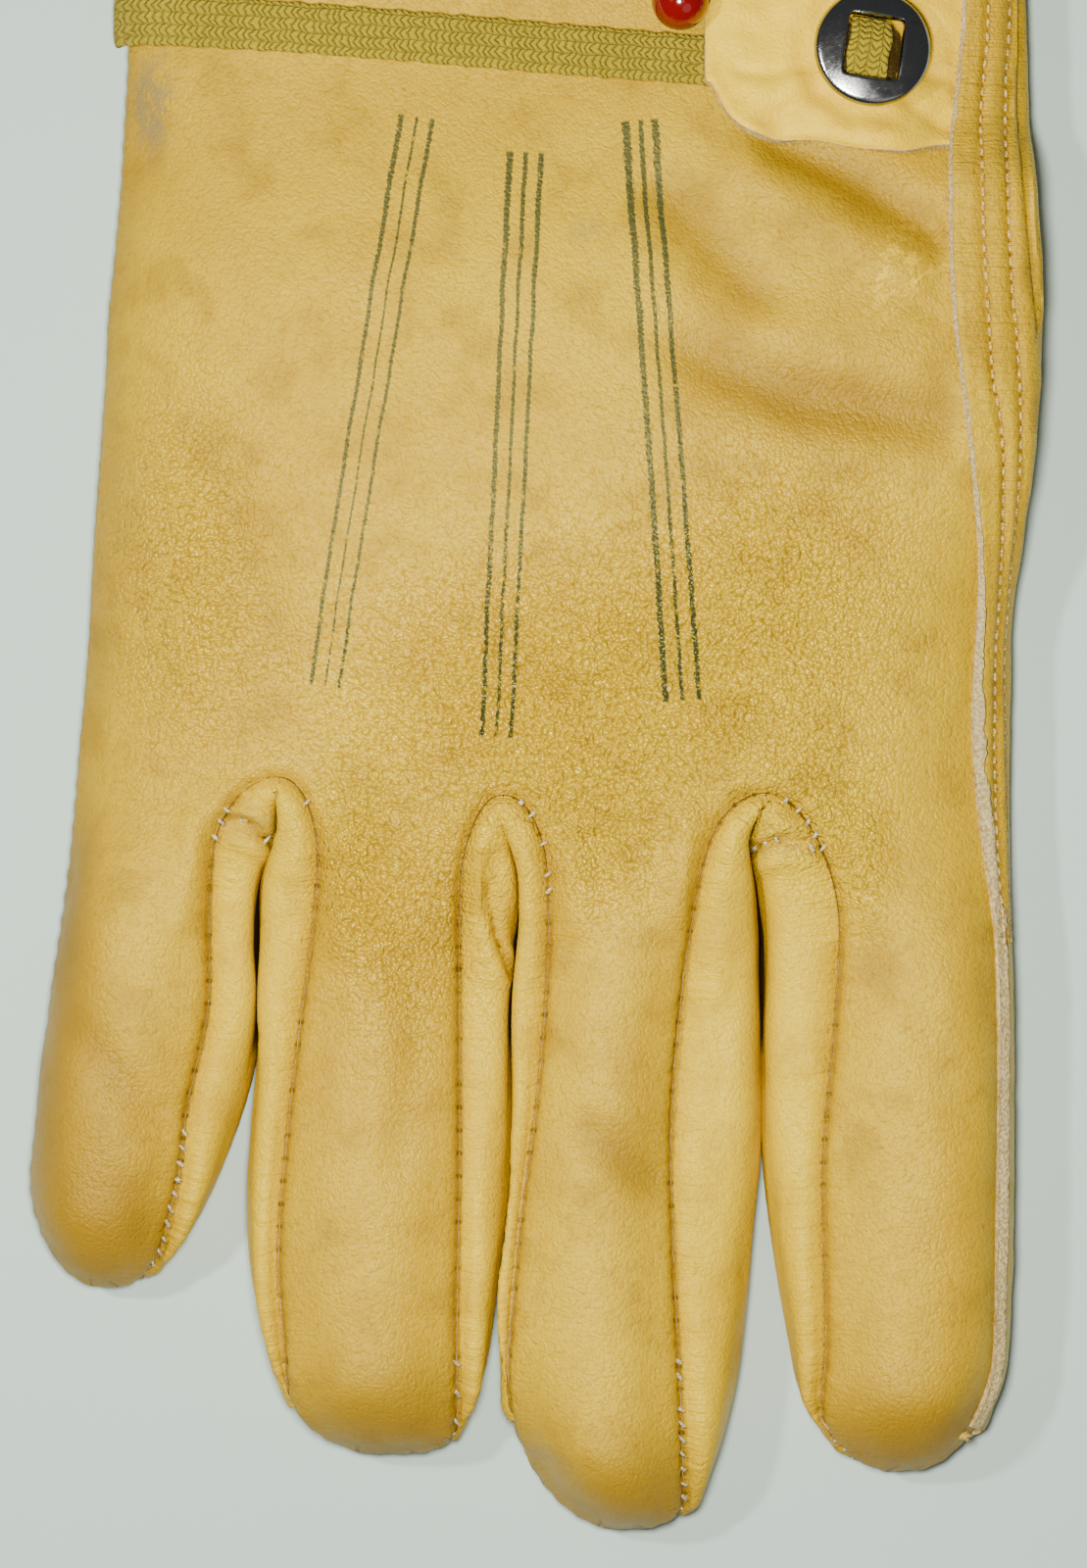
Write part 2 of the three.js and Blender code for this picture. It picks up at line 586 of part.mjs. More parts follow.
put("tab", walls([tabSurface()], LEATHER)[0], paleLeather);
put("tape", walls([tapeSurface()], TAPE.thick)[0], cotton);
put("tape_tail", walls([tailSurface()], TAPE.thick)[0], cotton);

const seat = new THREE.Vector3(...lifted(SLIDE.x, SLIDE.y, tabLift(SLIDE.x) + GAP + 0.35));
const upright = seat.clone().sub(new THREE.Vector3(...lifted(SLIDE.x, SLIDE.y, 0))).normalize();
const lean = new THREE.Quaternion().setFromUnitVectors(new THREE.Vector3(0, 0, 1), upright);
for (const mesh of [put("slide", slideGeometry(), steel), put("tape_fold", foldGeometry(), cotton)]) {
  mesh.position.copy(seat);
  mesh.quaternion.copy(lean);
}

const bead = put("bead", new THREE.SphereGeometry(BEAD.radius, 14, 9), red);
bead.position.set(BEAD.x, BEAD.y, handZ(BEAD.x, BEAD.y) + CLEAR + BEAD.radius);

// The origin is the middle of the footprint, on the surface.
const box = new THREE.Box3().setFromObject(glove);
const centre = box.getCenter(new THREE.Vector3());
glove.position.set(-centre.x, -centre.y, -box.min.z);
const part = new THREE.Group().add(glove);
export default part;
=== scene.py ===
"""A worn leather work glove for the right hand, empty, laid palm down, with the thumb folded under the palm.

Lengths are millimetres until a mesh is made, and metres from there. +Z is up from the surface the glove
lies on, +Y runs from the fingertips to the cuff, and +X is the thumb side, as in the frame.
"""

import math

import bpy
import numpy as np
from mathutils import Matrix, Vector
from mathutils import noise as perlin
from mathutils.kdtree import KDTree

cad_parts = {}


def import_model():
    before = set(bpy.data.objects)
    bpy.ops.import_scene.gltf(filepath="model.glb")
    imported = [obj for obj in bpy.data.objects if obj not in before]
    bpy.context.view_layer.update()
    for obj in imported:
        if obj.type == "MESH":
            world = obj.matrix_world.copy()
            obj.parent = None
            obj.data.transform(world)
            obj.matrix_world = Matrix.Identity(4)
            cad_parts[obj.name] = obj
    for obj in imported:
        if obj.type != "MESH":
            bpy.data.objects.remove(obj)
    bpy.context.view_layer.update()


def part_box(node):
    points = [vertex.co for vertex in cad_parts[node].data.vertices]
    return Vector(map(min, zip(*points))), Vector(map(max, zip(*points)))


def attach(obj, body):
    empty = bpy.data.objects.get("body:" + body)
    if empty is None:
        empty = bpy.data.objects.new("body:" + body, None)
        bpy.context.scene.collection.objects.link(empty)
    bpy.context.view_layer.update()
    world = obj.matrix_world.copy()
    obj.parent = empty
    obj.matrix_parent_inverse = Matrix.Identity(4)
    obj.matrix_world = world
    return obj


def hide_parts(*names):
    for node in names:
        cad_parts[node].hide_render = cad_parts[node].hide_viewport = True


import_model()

# --- Driving sizes ---
MM = 0.001
LEATHER = 1.0
THINNEST = 0.3  # leather pressed by its stitches
GAP = 0.3  # between leathers that lie on each other
SEAM_GAP = 0.12  # between leathers that are sewn edge to edge
FLOOR_GAP = 0.05  # the inner faces stay above the surface that the glove lies on
FAR = 9.0  # a distance beyond the reach of any seam or edge
WELD = 400  # points in the same 1/400 mm are one
CUFF_Y = 120.0
EDGE_Z = 3.0  # height of the seam between back and palm
LAP_Z = 5.0  # height of the back's edge inside the lap
PALM_EDGE_Z = 0.6
PALM_INSET = 1.2
PALM_CROTCH = 5.0
PALM_TURN = 4.5
CROTCH_EYE = 0.15
WAIST_Z = 7.5  # where the side walls touch
LAP = LEATHER + GAP
BLUNT = 0.5
ROLL = 11.0
SIDE_ROLL = 20.0
ROWS = 12  # finger rows of the solid, which end the side walls and the lap
LAP_END = 10
SIDE_Y = -31.5
TAPE_WIDTH = 6.0
TAPE_THICK = 1.2
CLEAR = GAP + 0.2
TAPE_TOP = CLEAR + TAPE_THICK
TAB_LEFT, TAB_RIGHT, TAB_CENTRE, TAB_HALF, TAB_END = 20.0, 52.5, 55.0, 12.6, 12.0
SLIDE_X, SLIDE_Y, SLIDE_RADIUS = 39.2, 54.2, 6.9
SLIDE_RIM, SLIDE_CROWN, SLIDE_TURN = 0.9, 2.0, -0.14
SLIDE_HOLE = (6.6, 7.4)
BEAD_X, BEAD_Y, BEAD_RADIUS = 17.1, 60.2, 3.5
THUMB_BASE, THUMB_TIP = np.array([43.4, 25.0]), np.array([29.0, -12.0])
THUMB_BASE_RADIUS, THUMB_TIP_RADIUS, THUMB_TOP = 15.4, 12.4, 8.2
THUMB_MOUTH = (11.0, 8.5)

# How finely the surfaces are cut.
HAND_STEPS = 160  # rows from the cuff to the crotches
FINE = 11  # rows for each of the solid's finger rows
ACROSS = 28  # columns across each finger's back
UNDER = 20  # columns across the lap
PALM_EVERY = 2  # the palm takes every second one of the back's columns
WALL_COLUMNS = 30
TURN_COLUMNS = 9


def mix(a, b, t):
    return a + (b - a) * t


def clamp(t):
    return np.clip(t, 0.0, 1.0)


def smooth(t):
    t = clamp(t)
    return t * t * (3 - 2 * t)


def bell(distance, width):
    return np.exp(-((distance / width) ** 2))


def xyz(x, y, z):
    return np.stack(np.broadcast_arrays(x, y, z), -1)


def all_round(count):
    return np.linspace(0, 2 * np.pi, count, endpoint=False)


def rounded(distance, radius):
    """A quarter circle: 0 at no distance from the end, 1 from the radius on."""
    t = 1 - np.minimum(distance, radius) / radius
    return np.sqrt(np.clip(1 - t * t, 0, None))


def through(points):
    """A smooth curve of x against y through (y, x) points, flat beyond its ends."""
    y, x = np.array(sorted(points), float).T
    slope = np.empty_like(y)
    slope[1:-1] = (x[2:] - x[:-2]) / (y[2:] - y[:-2])
    slope[0] = (x[1] - x[0]) / (y[1] - y[0])
    slope[-1] = (x[-1] - x[-2]) / (y[-1] - y[-2])

    def curve(at):
        at = np.clip(at, y[0], y[-1])
        i = np.clip(np.searchsorted(y, at, side="right") - 1, 0, len(y) - 2)
        h = y[i + 1] - y[i]
        t = (at - y[i]) / h
        rise = x[i + 1] - x[i]
        a, b = slope[i] * h, slope[i + 1] * h
        return x[i] + t * (a + t * (3 * rise - 2 * a - b + t * (a + b - 2 * rise)))

    return curve


def running(points):
    """How far along its line each point lies, for one line or for rows of them."""
    step = np.linalg.norm(np.diff(points, axis=-2), axis=-1)
    return np.concatenate([np.zeros_like(step[..., :1]), np.cumsum(step, -1)], -1)


def along_line(line, runs, at):
    """The points of a line at some running lengths."""
    return np.stack([np.interp(at, runs, column) for column in line.T], -1)


def unit(v):
    return v / np.maximum(np.linalg.norm(v, axis=-1), 1e-9)[..., None]


# --- The glove's form ---
outline_left = through([
    (CUFF_Y, -53.5), (95, -51), (70, -48.9), (55, -48.5), (24, -50.5), (-12, -53), (-37, -55), (-64, -58.3),
    (-78, -59.9),
])
outline_right = through([
    (CUFF_Y, 59.3), (90, 58.4), (60, 58.4), (42, 59), (26, 59.9), (11, 59.3), (-2, 57.8), (-14, 56.7),
    (-40, 56.7), (-54, 57), (-87, 56.9), (-96, 56.5),
])
lap_edge = through([
    (CUFF_Y, 50.5), (60, 49.9), (43, 48.4), (24, 48.8), (12, 50.2), (-6, 51.9), (-24, 51.4), (-35, 52.2),
    (-52, 54.3), (-96, 54.1),
])
hand_crown = through([
    (CUFF_Y, 12.5), (90, 12), (57, 11.4), (44, 13.2), (26, 16.2), (0, 17), (-20, 16), (-36, 15.2),
])
tab_low = through([
    (20.6, 50.2), (22.9, 46), (26.9, 43.9), (32.7, 43.4), (38.4, 42.1), (43, 41.8), (47.6, 43), (52.5, 43),
])
stitch_rows = [
    through([
        (CUFF_Y, 54), (58.5, 53.6), (48, 52.7), (40, 52.5), (28, 52.9), (15.5, 53.8), (10.7, 54.7),
        (2.5, 55.2), (-8, 55.2), (-20, 54.7), (-31.5, 54.7), (-50, 55.6),
    ]),
    through([
        (CUFF_Y, 56.6), (60.5, 56.4), (50, 55.8), (40, 55.6), (28, 56), (16, 57), (4.5, 57.2), (-3.6, 56.8),
        (-8.6, 56.4), (-20, 56), (-31.5, 56.2), (-50, 56.7),
    ]),
]
lap_fold = through([
    (CUFF_Y, 58), (60.5, 57.8), (50, 57.6), (40, 57.8), (31.8, 58.5), (25.7, 59.1), (19.6, 59.7),
])


def base_right(y):
    return outline_right(y) - LAP


CROTCHES = [(-29.9, -30.7, 9.0), (-3.6, -32.8, 10.0), (27.2, -32.6, 15.0)]  # x, y, length of the arch
TOUCH = [
    [(-30.7, -29.9), (-34, -30), (-37.8, -30.6), (-41, -31.9), (-44, -32.6), (-50, -32.8), (-63, -32.9)],
    [
        (-32.8, -3.6), (-35, -4.3), (-38, -3), (-41.5, -1.9), (-45.4, -1.6), (-50, -2), (-58, -2.7),
        (-77, -2.7),
    ],
    [(-32.6, 27.2), (-35, 25.9), (-38, 25.2), (-40, 25.5), (-44, 26.2), (-50, 26.8), (-74, 27)],
]


class Finger:
    """A finger: crown and seam heights, its tip and the radius of each corner, the seams beside its back,
    where its side walls bulge to, the row where each wall ends, and the crotches."""

    def __init__(self, name, crown, seam, tip, corners, seams, bulges, ends, crotches):
        self.name = name
        self.crown, self.seam = crown, seam
        self.tip_x, self.tip_y = tip
        self.corners, self.seams, self.bulges = corners, seams, bulges
        self.ends, self.crotches = ends, crotches


FINGERS = [
    Finger(
        "little", 14.5, 10.5, (-50, -91.3), (13, 5),
        (outline_left, through([
            (-33, -37), (-45.6, -38), (-58, -38.2), (-70, -40.7), (-77, -41.5), (-85, -43.4), (-91, -45),
        ])),
        (None, through([*TOUCH[0], (-73.5, -35.7), (-84, -40.4), (-91, -46)])),
        (None, 11), (None, CROTCHES[0]),
    ),
    Finger(
        "ring", 15.5, 11, (-17, -111.1), (8.5, 3),
        (through([
            (-34, -25.6), (-42, -25.6), (-60, -27.9), (-72, -29.3), (-87, -30.4), (-99, -29.7), (-111, -29.2),
        ]), through([(-35, -8.1), (-46, -8.5), (-76, -8.5), (-93, -8.8), (-111, -8.8)])),
        (through([*TOUCH[0], (-72, -33.6), (-80, -34.1), (-89, -33.6), (-99, -31.4), (-104, -29.6)]),
         through([*TOUCH[1], (-92, -4.4), (-101, -5.8), (-109, -8.8)])),
        (10, 11), (CROTCHES[0], CROTCHES[1]),
    ),
    Finger(
        "middle", 16, 11.5, (10.9, -120), (19, 3.5),
        (through([(-35, 1.4), (-50, 1.4), (-68, 0.1), (-82, -1.8), (-101, -3.5)]),
         through([
             (-34, 18.6), (-43, 19.2), (-56, 17.7), (-70, 16.5), (-84, 16.6), (-103, 17.5), (-120, 18.2),
         ])),
        (through([*TOUCH[1], (-84, -3.2), (-92, -4.1), (-101, -3.8)]),
         through([*TOUCH[2], (-84, 26.1), (-94, 25.2), (-104, 23.8), (-114, 20.8), (-118, 19)])),
        (9, 11), (CROTCHES[1], CROTCHES[2]),
    ),
    Finger(
        "index", 15.5, 11, (43.5, -113.1), (7.5, 17),
        (through([
            (-34, 34.6), (-46, 35.6), (-52, 35.7), (-64, 34.8), (-76, 33.8), (-98, 34.1), (-106, 33.6),
            (-113, 35),
        ]), base_right),
        (through([*TOUCH[2], (-87, 28.4), (-98, 30.2), (-104, 31.6), (-110, 35.5), (-112, 37.5)]), None),
        (11, None), (CROTCHES[2], None),
    ),
]
LITTLE, RING, MIDDLE, INDEX = FINGERS


def palm_lift(x, y):
    """How far the palm is lifted off the surface by the thumb folded under it."""
    run = THUMB_TIP - THUMB_BASE
    t = clamp(((x - THUMB_BASE[0]) * run[0] + (y - THUMB_BASE[1]) * run[1]) / (run @ run))
    away = np.hypot(x - mix(THUMB_BASE[0], THUMB_TIP[0], t), y - mix(THUMB_BASE[1], THUMB_TIP[1], t))
    away = away - mix(THUMB_BASE_RADIUS, THUMB_TIP_RADIUS, t)
    return (THUMB_TOP + GAP) * (1 - smooth((away - 1.5) / 8))


def hand_z(x, y):
    """The back of the hand: an arch from one rolled side to the other."""
    left, right = outline_left(y), base_right(y)
    u = (2 * x - left - right) / (right - left)
    edge = np.where(u > 0, LAP_Z + 0.8 * palm_lift(right - 3, y), EDGE_Z)
    return mix(edge, hand_crown(y), np.sqrt(np.clip(1 - np.abs(u) ** 3.2, 0, None)))


def strip_edge(f, side, y):
    """The edge of a finger's back on one side: an arch at the crotch, a round corner at the tip."""
    x = f.seams[side](y)
    if f.crotches[side]:
        crotch_x, crotch_y, arch = f.crotches[side]
        x = mix(crotch_x, x, rounded(crotch_y - y, arch))
    return mix(f.tip_x, x, rounded(y - f.tip_y + BLUNT, f.corners[side] + BLUNT))


def row_share(j):
    """Along a finger, rows crowd together at the crotch and at the tip."""
    return 0.5 - 0.5 * np.cos(np.pi * j / ROWS)


def row_y(f, side, share):
    return mix(f.crotches[side][1] if f.crotches[side] else SIDE_Y, f.tip_y, share)


def back_point(f, j, across, under=0.0):
    """A point of finger f's back, a share of the way across it, or further under the lap."""
    v = row_share(j)
    yl, yr = row_y(f, 0, v), row_y(f, 1, v)
    xl, xr = strip_edge(f, 0, yl), strip_edge(f, 1, yr)
    c = across
    if f is INDEX:
        lap = mix(f.tip_x, lap_edge(yr), rounded(yr - f.tip_y + BLUNT, f.corners[1]))
        cut = np.minimum(0.985, (lap - xl) / (xr - xl))
        c = mix(cut * across, 1.0, np.sin(under * (np.pi / 2)))
    x, y, u = mix(xl, xr, c), mix(yl, yr, c), 2 * c - 1
    left = u < 0
    outer = np.where(left, f.crotches[0] is None, f.crotches[1] is None)
    tipward = y - f.tip_y
    side_z = np.where(outer, np.where(left, EDGE_Z, LAP_Z), f.seam)
    end = np.where(left, f.ends[0] or ROWS, f.ends[1] or ROWS)
    joined = np.maximum(0, (SIDE_Y - f.tip_y) * (1 - row_share(end)) - 4)
    edge = mix(EDGE_Z, side_z, rounded(np.maximum(0, tipward - joined), SIDE_ROLL))
    crown = mix(EDGE_Z, f.crown, rounded(tipward, ROLL))
    a = np.abs(u)
    arch = np.where(outer, np.sqrt(np.clip(1 - a ** 2.4, 0, None)), 1 - a ** 2.2)
    own = mix(edge, np.maximum(edge, crown), arch)
    z = mix(hand_z(x, y), own, smooth(v / 0.3))
    return xyz(x, y, z)


def hand_point(f, h, across, under=0.0):
    """A point of the back of the hand in line with finger f, h of the way from the cuff to the crotches."""
    start = back_point(f, 0.0, across, under)
    x0, y0 = start[..., 0], start[..., 1]
    y = mix(CUFF_Y, y0, h)
    share = (x0 - outline_left(y0)) / (lap_edge(y0) - outline_left(y0))
    x = mix(outline_left(y), lap_edge(y), share)
    if f is INDEX:
        beyond = (x0 - lap_edge(y0)) / (base_right(y0) - lap_edge(y0))
        x = np.where(under > 0, mix(lap_edge(y), base_right(y), beyond), x)
    return xyz(x, y, hand_z(x, y))


def spread(count):
    """Shares from 0 to 1 that crowd together at both ends."""
    return 0.5 - 0.5 * np.cos(np.pi * np.arange(count + 1) / count)


hand_share = (np.arange(HAND_STEPS + 1) / HAND_STEPS)[:, None]
finger_row = (np.arange(ROWS * FINE + 1) / FINE)[:, None]
across_main = spread(ACROSS)[None, :]
under_lap = ((np.arange(UNDER + 1) / UNDER) ** 1.35)[None, :]


# --- Surfaces ---
def same_points(cloud):
    """Finds points that coincide: the first of each, the number of each, and how many share it."""
    steps = np.round(cloud * WELD).astype(np.int64)
    return np.unique(steps, axis=0, return_index=True, return_inverse=True, return_counts=True)[1:]


def quads_of(index):
    """The quads between rows and columns of point numbers."""
    return np.stack([index[:-1, :-1], index[:-1, 1:], index[1:, 1:], index[1:, :-1]], -1).reshape(-1, 4)


class Sheet:
    """A surface of grids of points that share the points where they meet. Its faces point out."""

    def __init__(self, name, grids, flip=False):
        self.name = name
        cloud = np.concatenate([grid.reshape(-1, 3) for grid in grids])
        first, number, _ = same_points(cloud)
        self.points = cloud[first]
        ends = np.cumsum([grid.shape[0] * grid.shape[1] for grid in grids])
        parts = np.split(number.reshape(-1), ends[:-1])
        self.index = [part.reshape(grid.shape[:2]) for part, grid in zip(parts, grids)]
        quads = np.concatenate([quads_of(index) for index in self.index])
        quads = quads[:, ::-1] if flip else quads
        corners = np.sum(quads != np.roll(quads, -1, 1), 1)
        self.quads = quads[corners >= 3]
        self.raw = np.zeros(len(self.quads), bool)  # faces that show cut leather
        self.moved = np.zeros(len(self.points))  # how far each point is moved out along its normal
        self.pressed = np.zeros(len(self.points))  # how much thinner the leather is
        self.bevel = np.full(len(self.points), FAR)  # share of the way across a skived edge

    def normals(self):
        a, b, c, d = self.points[self.quads].swapaxes(0, 1)
        face = np.cross(c - a, d - b)
        total = np.zeros_like(self.points)
        for column in self.quads.T:
            np.add.at(total, column, face)
        return unit(total)

    def area(self):
        a, b, c, d = self.outer[self.quads].swapaxes(0, 1)
        return 0.5 * np.linalg.norm(np.cross(c - a, d - b), axis=1).sum()

    def cut(self, oval):
        """Removes the faces inside an oval of scale 1, and brings the points beside it onto its edge."""
        scale = oval(self.points)
        keep = np.min(scale[self.quads], 1) >= 0.94
        lost = np.zeros(len(self.points), bool)
        lost[self.quads[~keep]] = True
        left = np.zeros(len(self.points), bool)
        left[self.quads[keep]] = True
        edge = lost & left
        self.points[edge, :2] = mix(MOUTH_CENTRE, self.points[edge, :2], (1 / scale[edge])[:, None])
        number = np.cumsum(left) - 1
        self.index = [np.where(left[i], number[i], 0) for i in self.index]
        self.quads, self.raw = number[self.quads[keep]], self.raw[keep]
        for layer in ("points", "moved", "pressed", "bevel"):
            setattr(self, layer, getattr(self, layer)[left])

    def rim(self):
        """The open edges, as (from, to, a point inside)."""
        starts, ends, inside = (np.roll(self.quads, -n, 1).T.reshape(-1) for n in range(3))
        size = len(self.points)
        is_open = (starts != ends) & ~np.isin(starts * size + ends, ends * size + starts)
        return starts[is_open], ends[is_open], inside[is_open]


MOUTH_CENTRE = THUMB_BASE - np.array([1.5, 2.0])


def mouth_scale(points):
    """1 on the edge of the thumb's mouth, less inside it, and large below the palm's lifted part."""
    along = unit(THUMB_TIP - THUMB_BASE)
    off = points[:, :2] - MOUTH_CENTRE
    scale = np.hypot(off @ along / THUMB_MOUTH[0], off @ np.array([-along[1], along[0]]) / THUMB_MOUTH[1])
    return np.where((points[:, 2] > THUMB_TOP / 2 + 1.5) & (points[:, 2] < 11), scale, FAR)


def sew(sheets):
    """Gives sheets one shared normal at each point where they meet."""
    _, number, count = same_points(np.concatenate([s.points for s in sheets]))
    number = number.reshape(-1)
    total = np.zeros((len(count), 3))
    np.add.at(total, number, np.concatenate([s.normals() for s in sheets]))
    shared = unit(total)[number]
    for s, part in zip(sheets, np.split(shared, np.cumsum([len(s.points) for s in sheets])[:-1])):
        s.normal = part


def shell(s, thick=LEATHER, gap=SEAM_GAP):
    """Moves a sheet's points out as far as asked, draws its rim back and adds its inner face."""
    outer = s.points + s.normal * s.moved[:, None]
    a, b, c = s.rim()
    along = unit(outer[b] - outer[a])
    inward = outer[c] - outer[a]
    inward = unit(inward - along * np.sum(inward * along, 1)[:, None])
    total = np.zeros_like(outer)
    np.add.at(total, a, inward)
    np.add.at(total, b, inward)
    square = np.sum(total * total, 1)
    shift = total * (gap / np.maximum(square, 0.06))[:, None]
    s.outer = outer + shift
    s.inner = s.outer - s.normal * np.maximum(thick - s.pressed, THINNEST)[:, None]
    s.outer[:, 2] = np.maximum(s.outer[:, 2], 0)
    s.inner[:, 2] = np.maximum(s.inner[:, 2], FLOOR_GAP)
    size = len(outer)
    rim = np.stack([b, a, a + size, b + size], 1)
    s.faces = np.concatenate([s.quads, s.quads[:, ::-1] + size, rim])


SHIFT = np.array([*np.mean([corner[:2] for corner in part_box("bead")[:2]], 0) / MM, 0.0])
SHIFT -= np.array([BEAD_X, BEAD_Y, 0.0])


def linked(name, data):
    made = bpy.data.objects.new(name, data)
    bpy.context.scene.collection.objects.link(made)
    return made


def make_object(name, points, faces, materials, slot, slots=None, smooth_angle=60, replaces=True, **layers):
    """A piece from points in millimetres, with its faces' material slots and its named point vectors."""
    mesh = bpy.data.meshes.new(name)
    polygons = [[p for n, p in enumerate(face) if p != face[n - 1]] for face in faces]
    mesh.from_pydata(((points.reshape(-1, 3) + SHIFT) * MM).tolist(), [], polygons)
    for material in materials:
        mesh.materials.append(material)
    if slots is not None:
        mesh.polygons.foreach_set("material_index", slots)
    mesh.shade_smooth()
    mesh.set_sharp_from_angle(angle=math.radians(smooth_angle))
    for key, values in layers.items():
        layer = mesh.attributes.new(key, "FLOAT_VECTOR", "POINT")
        layer.data.foreach_set("vector", np.asarray(values, np.float32).reshape(-1))
    made = linked(name, mesh)
    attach(made, "root")
    if replaces:
        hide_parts(name)
    return made


def ring_faces(rows, sides, closed=False, flip=False, start=0):
    """The faces of a tube of rings, with a cap at each end unless its last ring joins the first."""
    index = start + np.arange(rows * sides).reshape(rows, sides)
    caps = [] if closed else [index[0][::-1].tolist(), index[-1].tolist()]
    index = np.concatenate([index, index[:1]]) if closed else index
    faces = quads_of(np.concatenate([index, index[:, :1]], 1)).tolist() + caps
    return [face[:1] + face[:0:-1] for face in faces] if flip else faces


# --- The leather pieces ---
HAND_LAP, FINGER_LAP = 8, 9  # the grids at the lap, of the back and of the palm
BACK_ROWS = ((hand_share, hand_point), (finger_row, back_point))


def back_sheet():
    grids = [point(f, rows, across_main) for f in FINGERS for rows, point in BACK_ROWS]
    grids += [point(INDEX, rows, np.ones((1, 1)), under_lap) for rows, point in BACK_ROWS]
    return Sheet("back", grids, True)


def palm_edge(f, side, j):
    """The palm's edge on one side of a finger: under a side wall, or on the back's own edge beyond it."""
    own = back_point(f, j, float(side), float(f is INDEX and side == 1))
    if f.crotches[side] is None:
        return own
    crotch_x, crotch_y, _ = f.crotches[side]
    y = mix(crotch_y - PALM_CROTCH, f.tip_y, row_share(j))
    sign = 2 * side - 1
    under = f.bulges[side](y) - sign * PALM_INSET
    x = mix(crotch_x, under, rounded(crotch_y - PALM_CROTCH - y, PALM_CROTCH))
    low = xyz(x, y, PALM_EDGE_Z + palm_lift(x, y))
    return np.where((j >= f.ends[side] - 1e-9)[..., None], own, low)


def palm_row(left, right, shares, turns_up):
    """Rows of the palm between two edges, down on the surface or over the thumb."""
    wide = right[:, :1] - left[:, :1]
    flat = right[:, 0:1] - (PALM_TURN if turns_up else 0)
    x = mix(left[:, :1], flat, shares)
    y = mix(left[:, 1:2], right[:, 1:2], shares)
    low = palm_lift(x, y)
    from_left = np.abs(x - left[:, :1])
    turn = np.minimum(2.6, 0.3 * np.abs(wide) + 1e-3)
    z = low + (left[:, 2:3] - low) * (1 - rounded(from_left, turn))
    if not turns_up:
        z = z + (right[:, 2:3] - low) * (1 - rounded(np.abs(right[:, :1] - x), turn))
        return xyz(x, y, z)
    angle = np.linspace(0, np.pi / 2, TURN_COLUMNS + 1)[None, 1:]
    up_z = mix(right[:, 2:3], z[:, -1:], np.cos(angle))
    up = xyz(flat + PALM_TURN * np.sin(angle), right[:, 1:2], up_z)
    return np.concatenate([xyz(x, y, z), up], 1)


def under_tab(y):
    """The lap is lifted where the tab is caught under it."""
    return (LAP + 0.1) * (1 - smooth((np.abs(y - TAB_CENTRE) - TAB_HALF - 2) / 8))


bevel_width = through([(CUFF_Y, 0.45), (0, 0.5), (-14, 0.75), (-26, 1.25), (-110, 1.3)])  # the lap's raw edge


def lap_grids(back):
    """The palm's lap, which lies on the back: its grid along the hand and along the index finger."""
    grids = []
    normals = back.normals()
    share = under_lap[0]
    for n in (HAND_LAP, FINGER_LAP):
        points = back.points[back.index[n]]
        normal = normals[back.index[n]].copy()
        normal[:, -1, 2] = 0
        over = under_tab(points[..., 1]) * np.minimum(1, (3 - 3 * share) / 2)
        worn = bevel_width(points[..., 1])
        worn = worn * (1 + 0.2 * np.sin(points[..., 1] * 0.9) * np.sin(points[..., 1] * 0.37))
        bevel = running(points) / worn
        thin = 0.8 * (1 - smooth(bevel)) * (1 - share) ** 0.5
        grids.append((points + unit(normal) * (LAP + over - thin)[..., None], bevel))
    return grids


def palm_sheet(back):
    (hand_lap, hand_bevel), (finger_lap, finger_bevel) = lap_grids(back)
    last = LAP_END * FINE
    edge = back.points[back.index[FINGER_LAP]][:, -1]
    fade = smooth((finger_row[:, 0] - LAP_END) / 0.6)[:, None]
    finger_outermost = mix(finger_lap[:, -1], edge, fade)
    shares = spread(ACROSS)[None, ::PALM_EVERY]
    h, j = hand_share[:, 0], finger_row[:, 0]
    grids = []

    def below(crotch):
        crotch_x, crotch_y, _ = crotch
        y0 = crotch_y - PALM_CROTCH
        share = (crotch_x - outline_left(y0)) / (base_right(y0) - outline_left(y0))
        y = mix(CUFF_Y, y0, h)
        x = mix(outline_left(y), base_right(y), share)
        return xyz(x, y, palm_lift(x, y))

    for f in FINGERS:
        left = below(f.crotches[0]) if f.crotches[0] else hand_point(f, h, 0.0)
        right = below(f.crotches[1]) if f.crotches[1] else hand_lap[:, -1]
        grids.append(palm_row(left, right, shares, f is INDEX))
        right = finger_outermost if f is INDEX else palm_edge(f, 1, j)
        rows = palm_row(palm_edge(f, 0, j), right, shares, f is INDEX)
        rows[-1] = back_point(f, float(ROWS), shares[0]) if f is not INDEX else along_line(
            np.concatenate([back.points[back.index[7][-1]], back.points[back.index[FINGER_LAP][-1][1:]]]),
            np.linspace(0, 1, ACROSS + UNDER + 1), np.linspace(0, 1, rows.shape[1]),
        )
        grids.append(rows)
    palm = Sheet("palm", [*grids, hand_lap[:, ::-1], finger_lap[:last + 1, ::-1]])
    palm.bevel[palm.index[HAND_LAP]] = hand_bevel[:, ::-1]
    palm.bevel[palm.index[FINGER_LAP]] = finger_bevel[:last + 1, ::-1]
    return palm


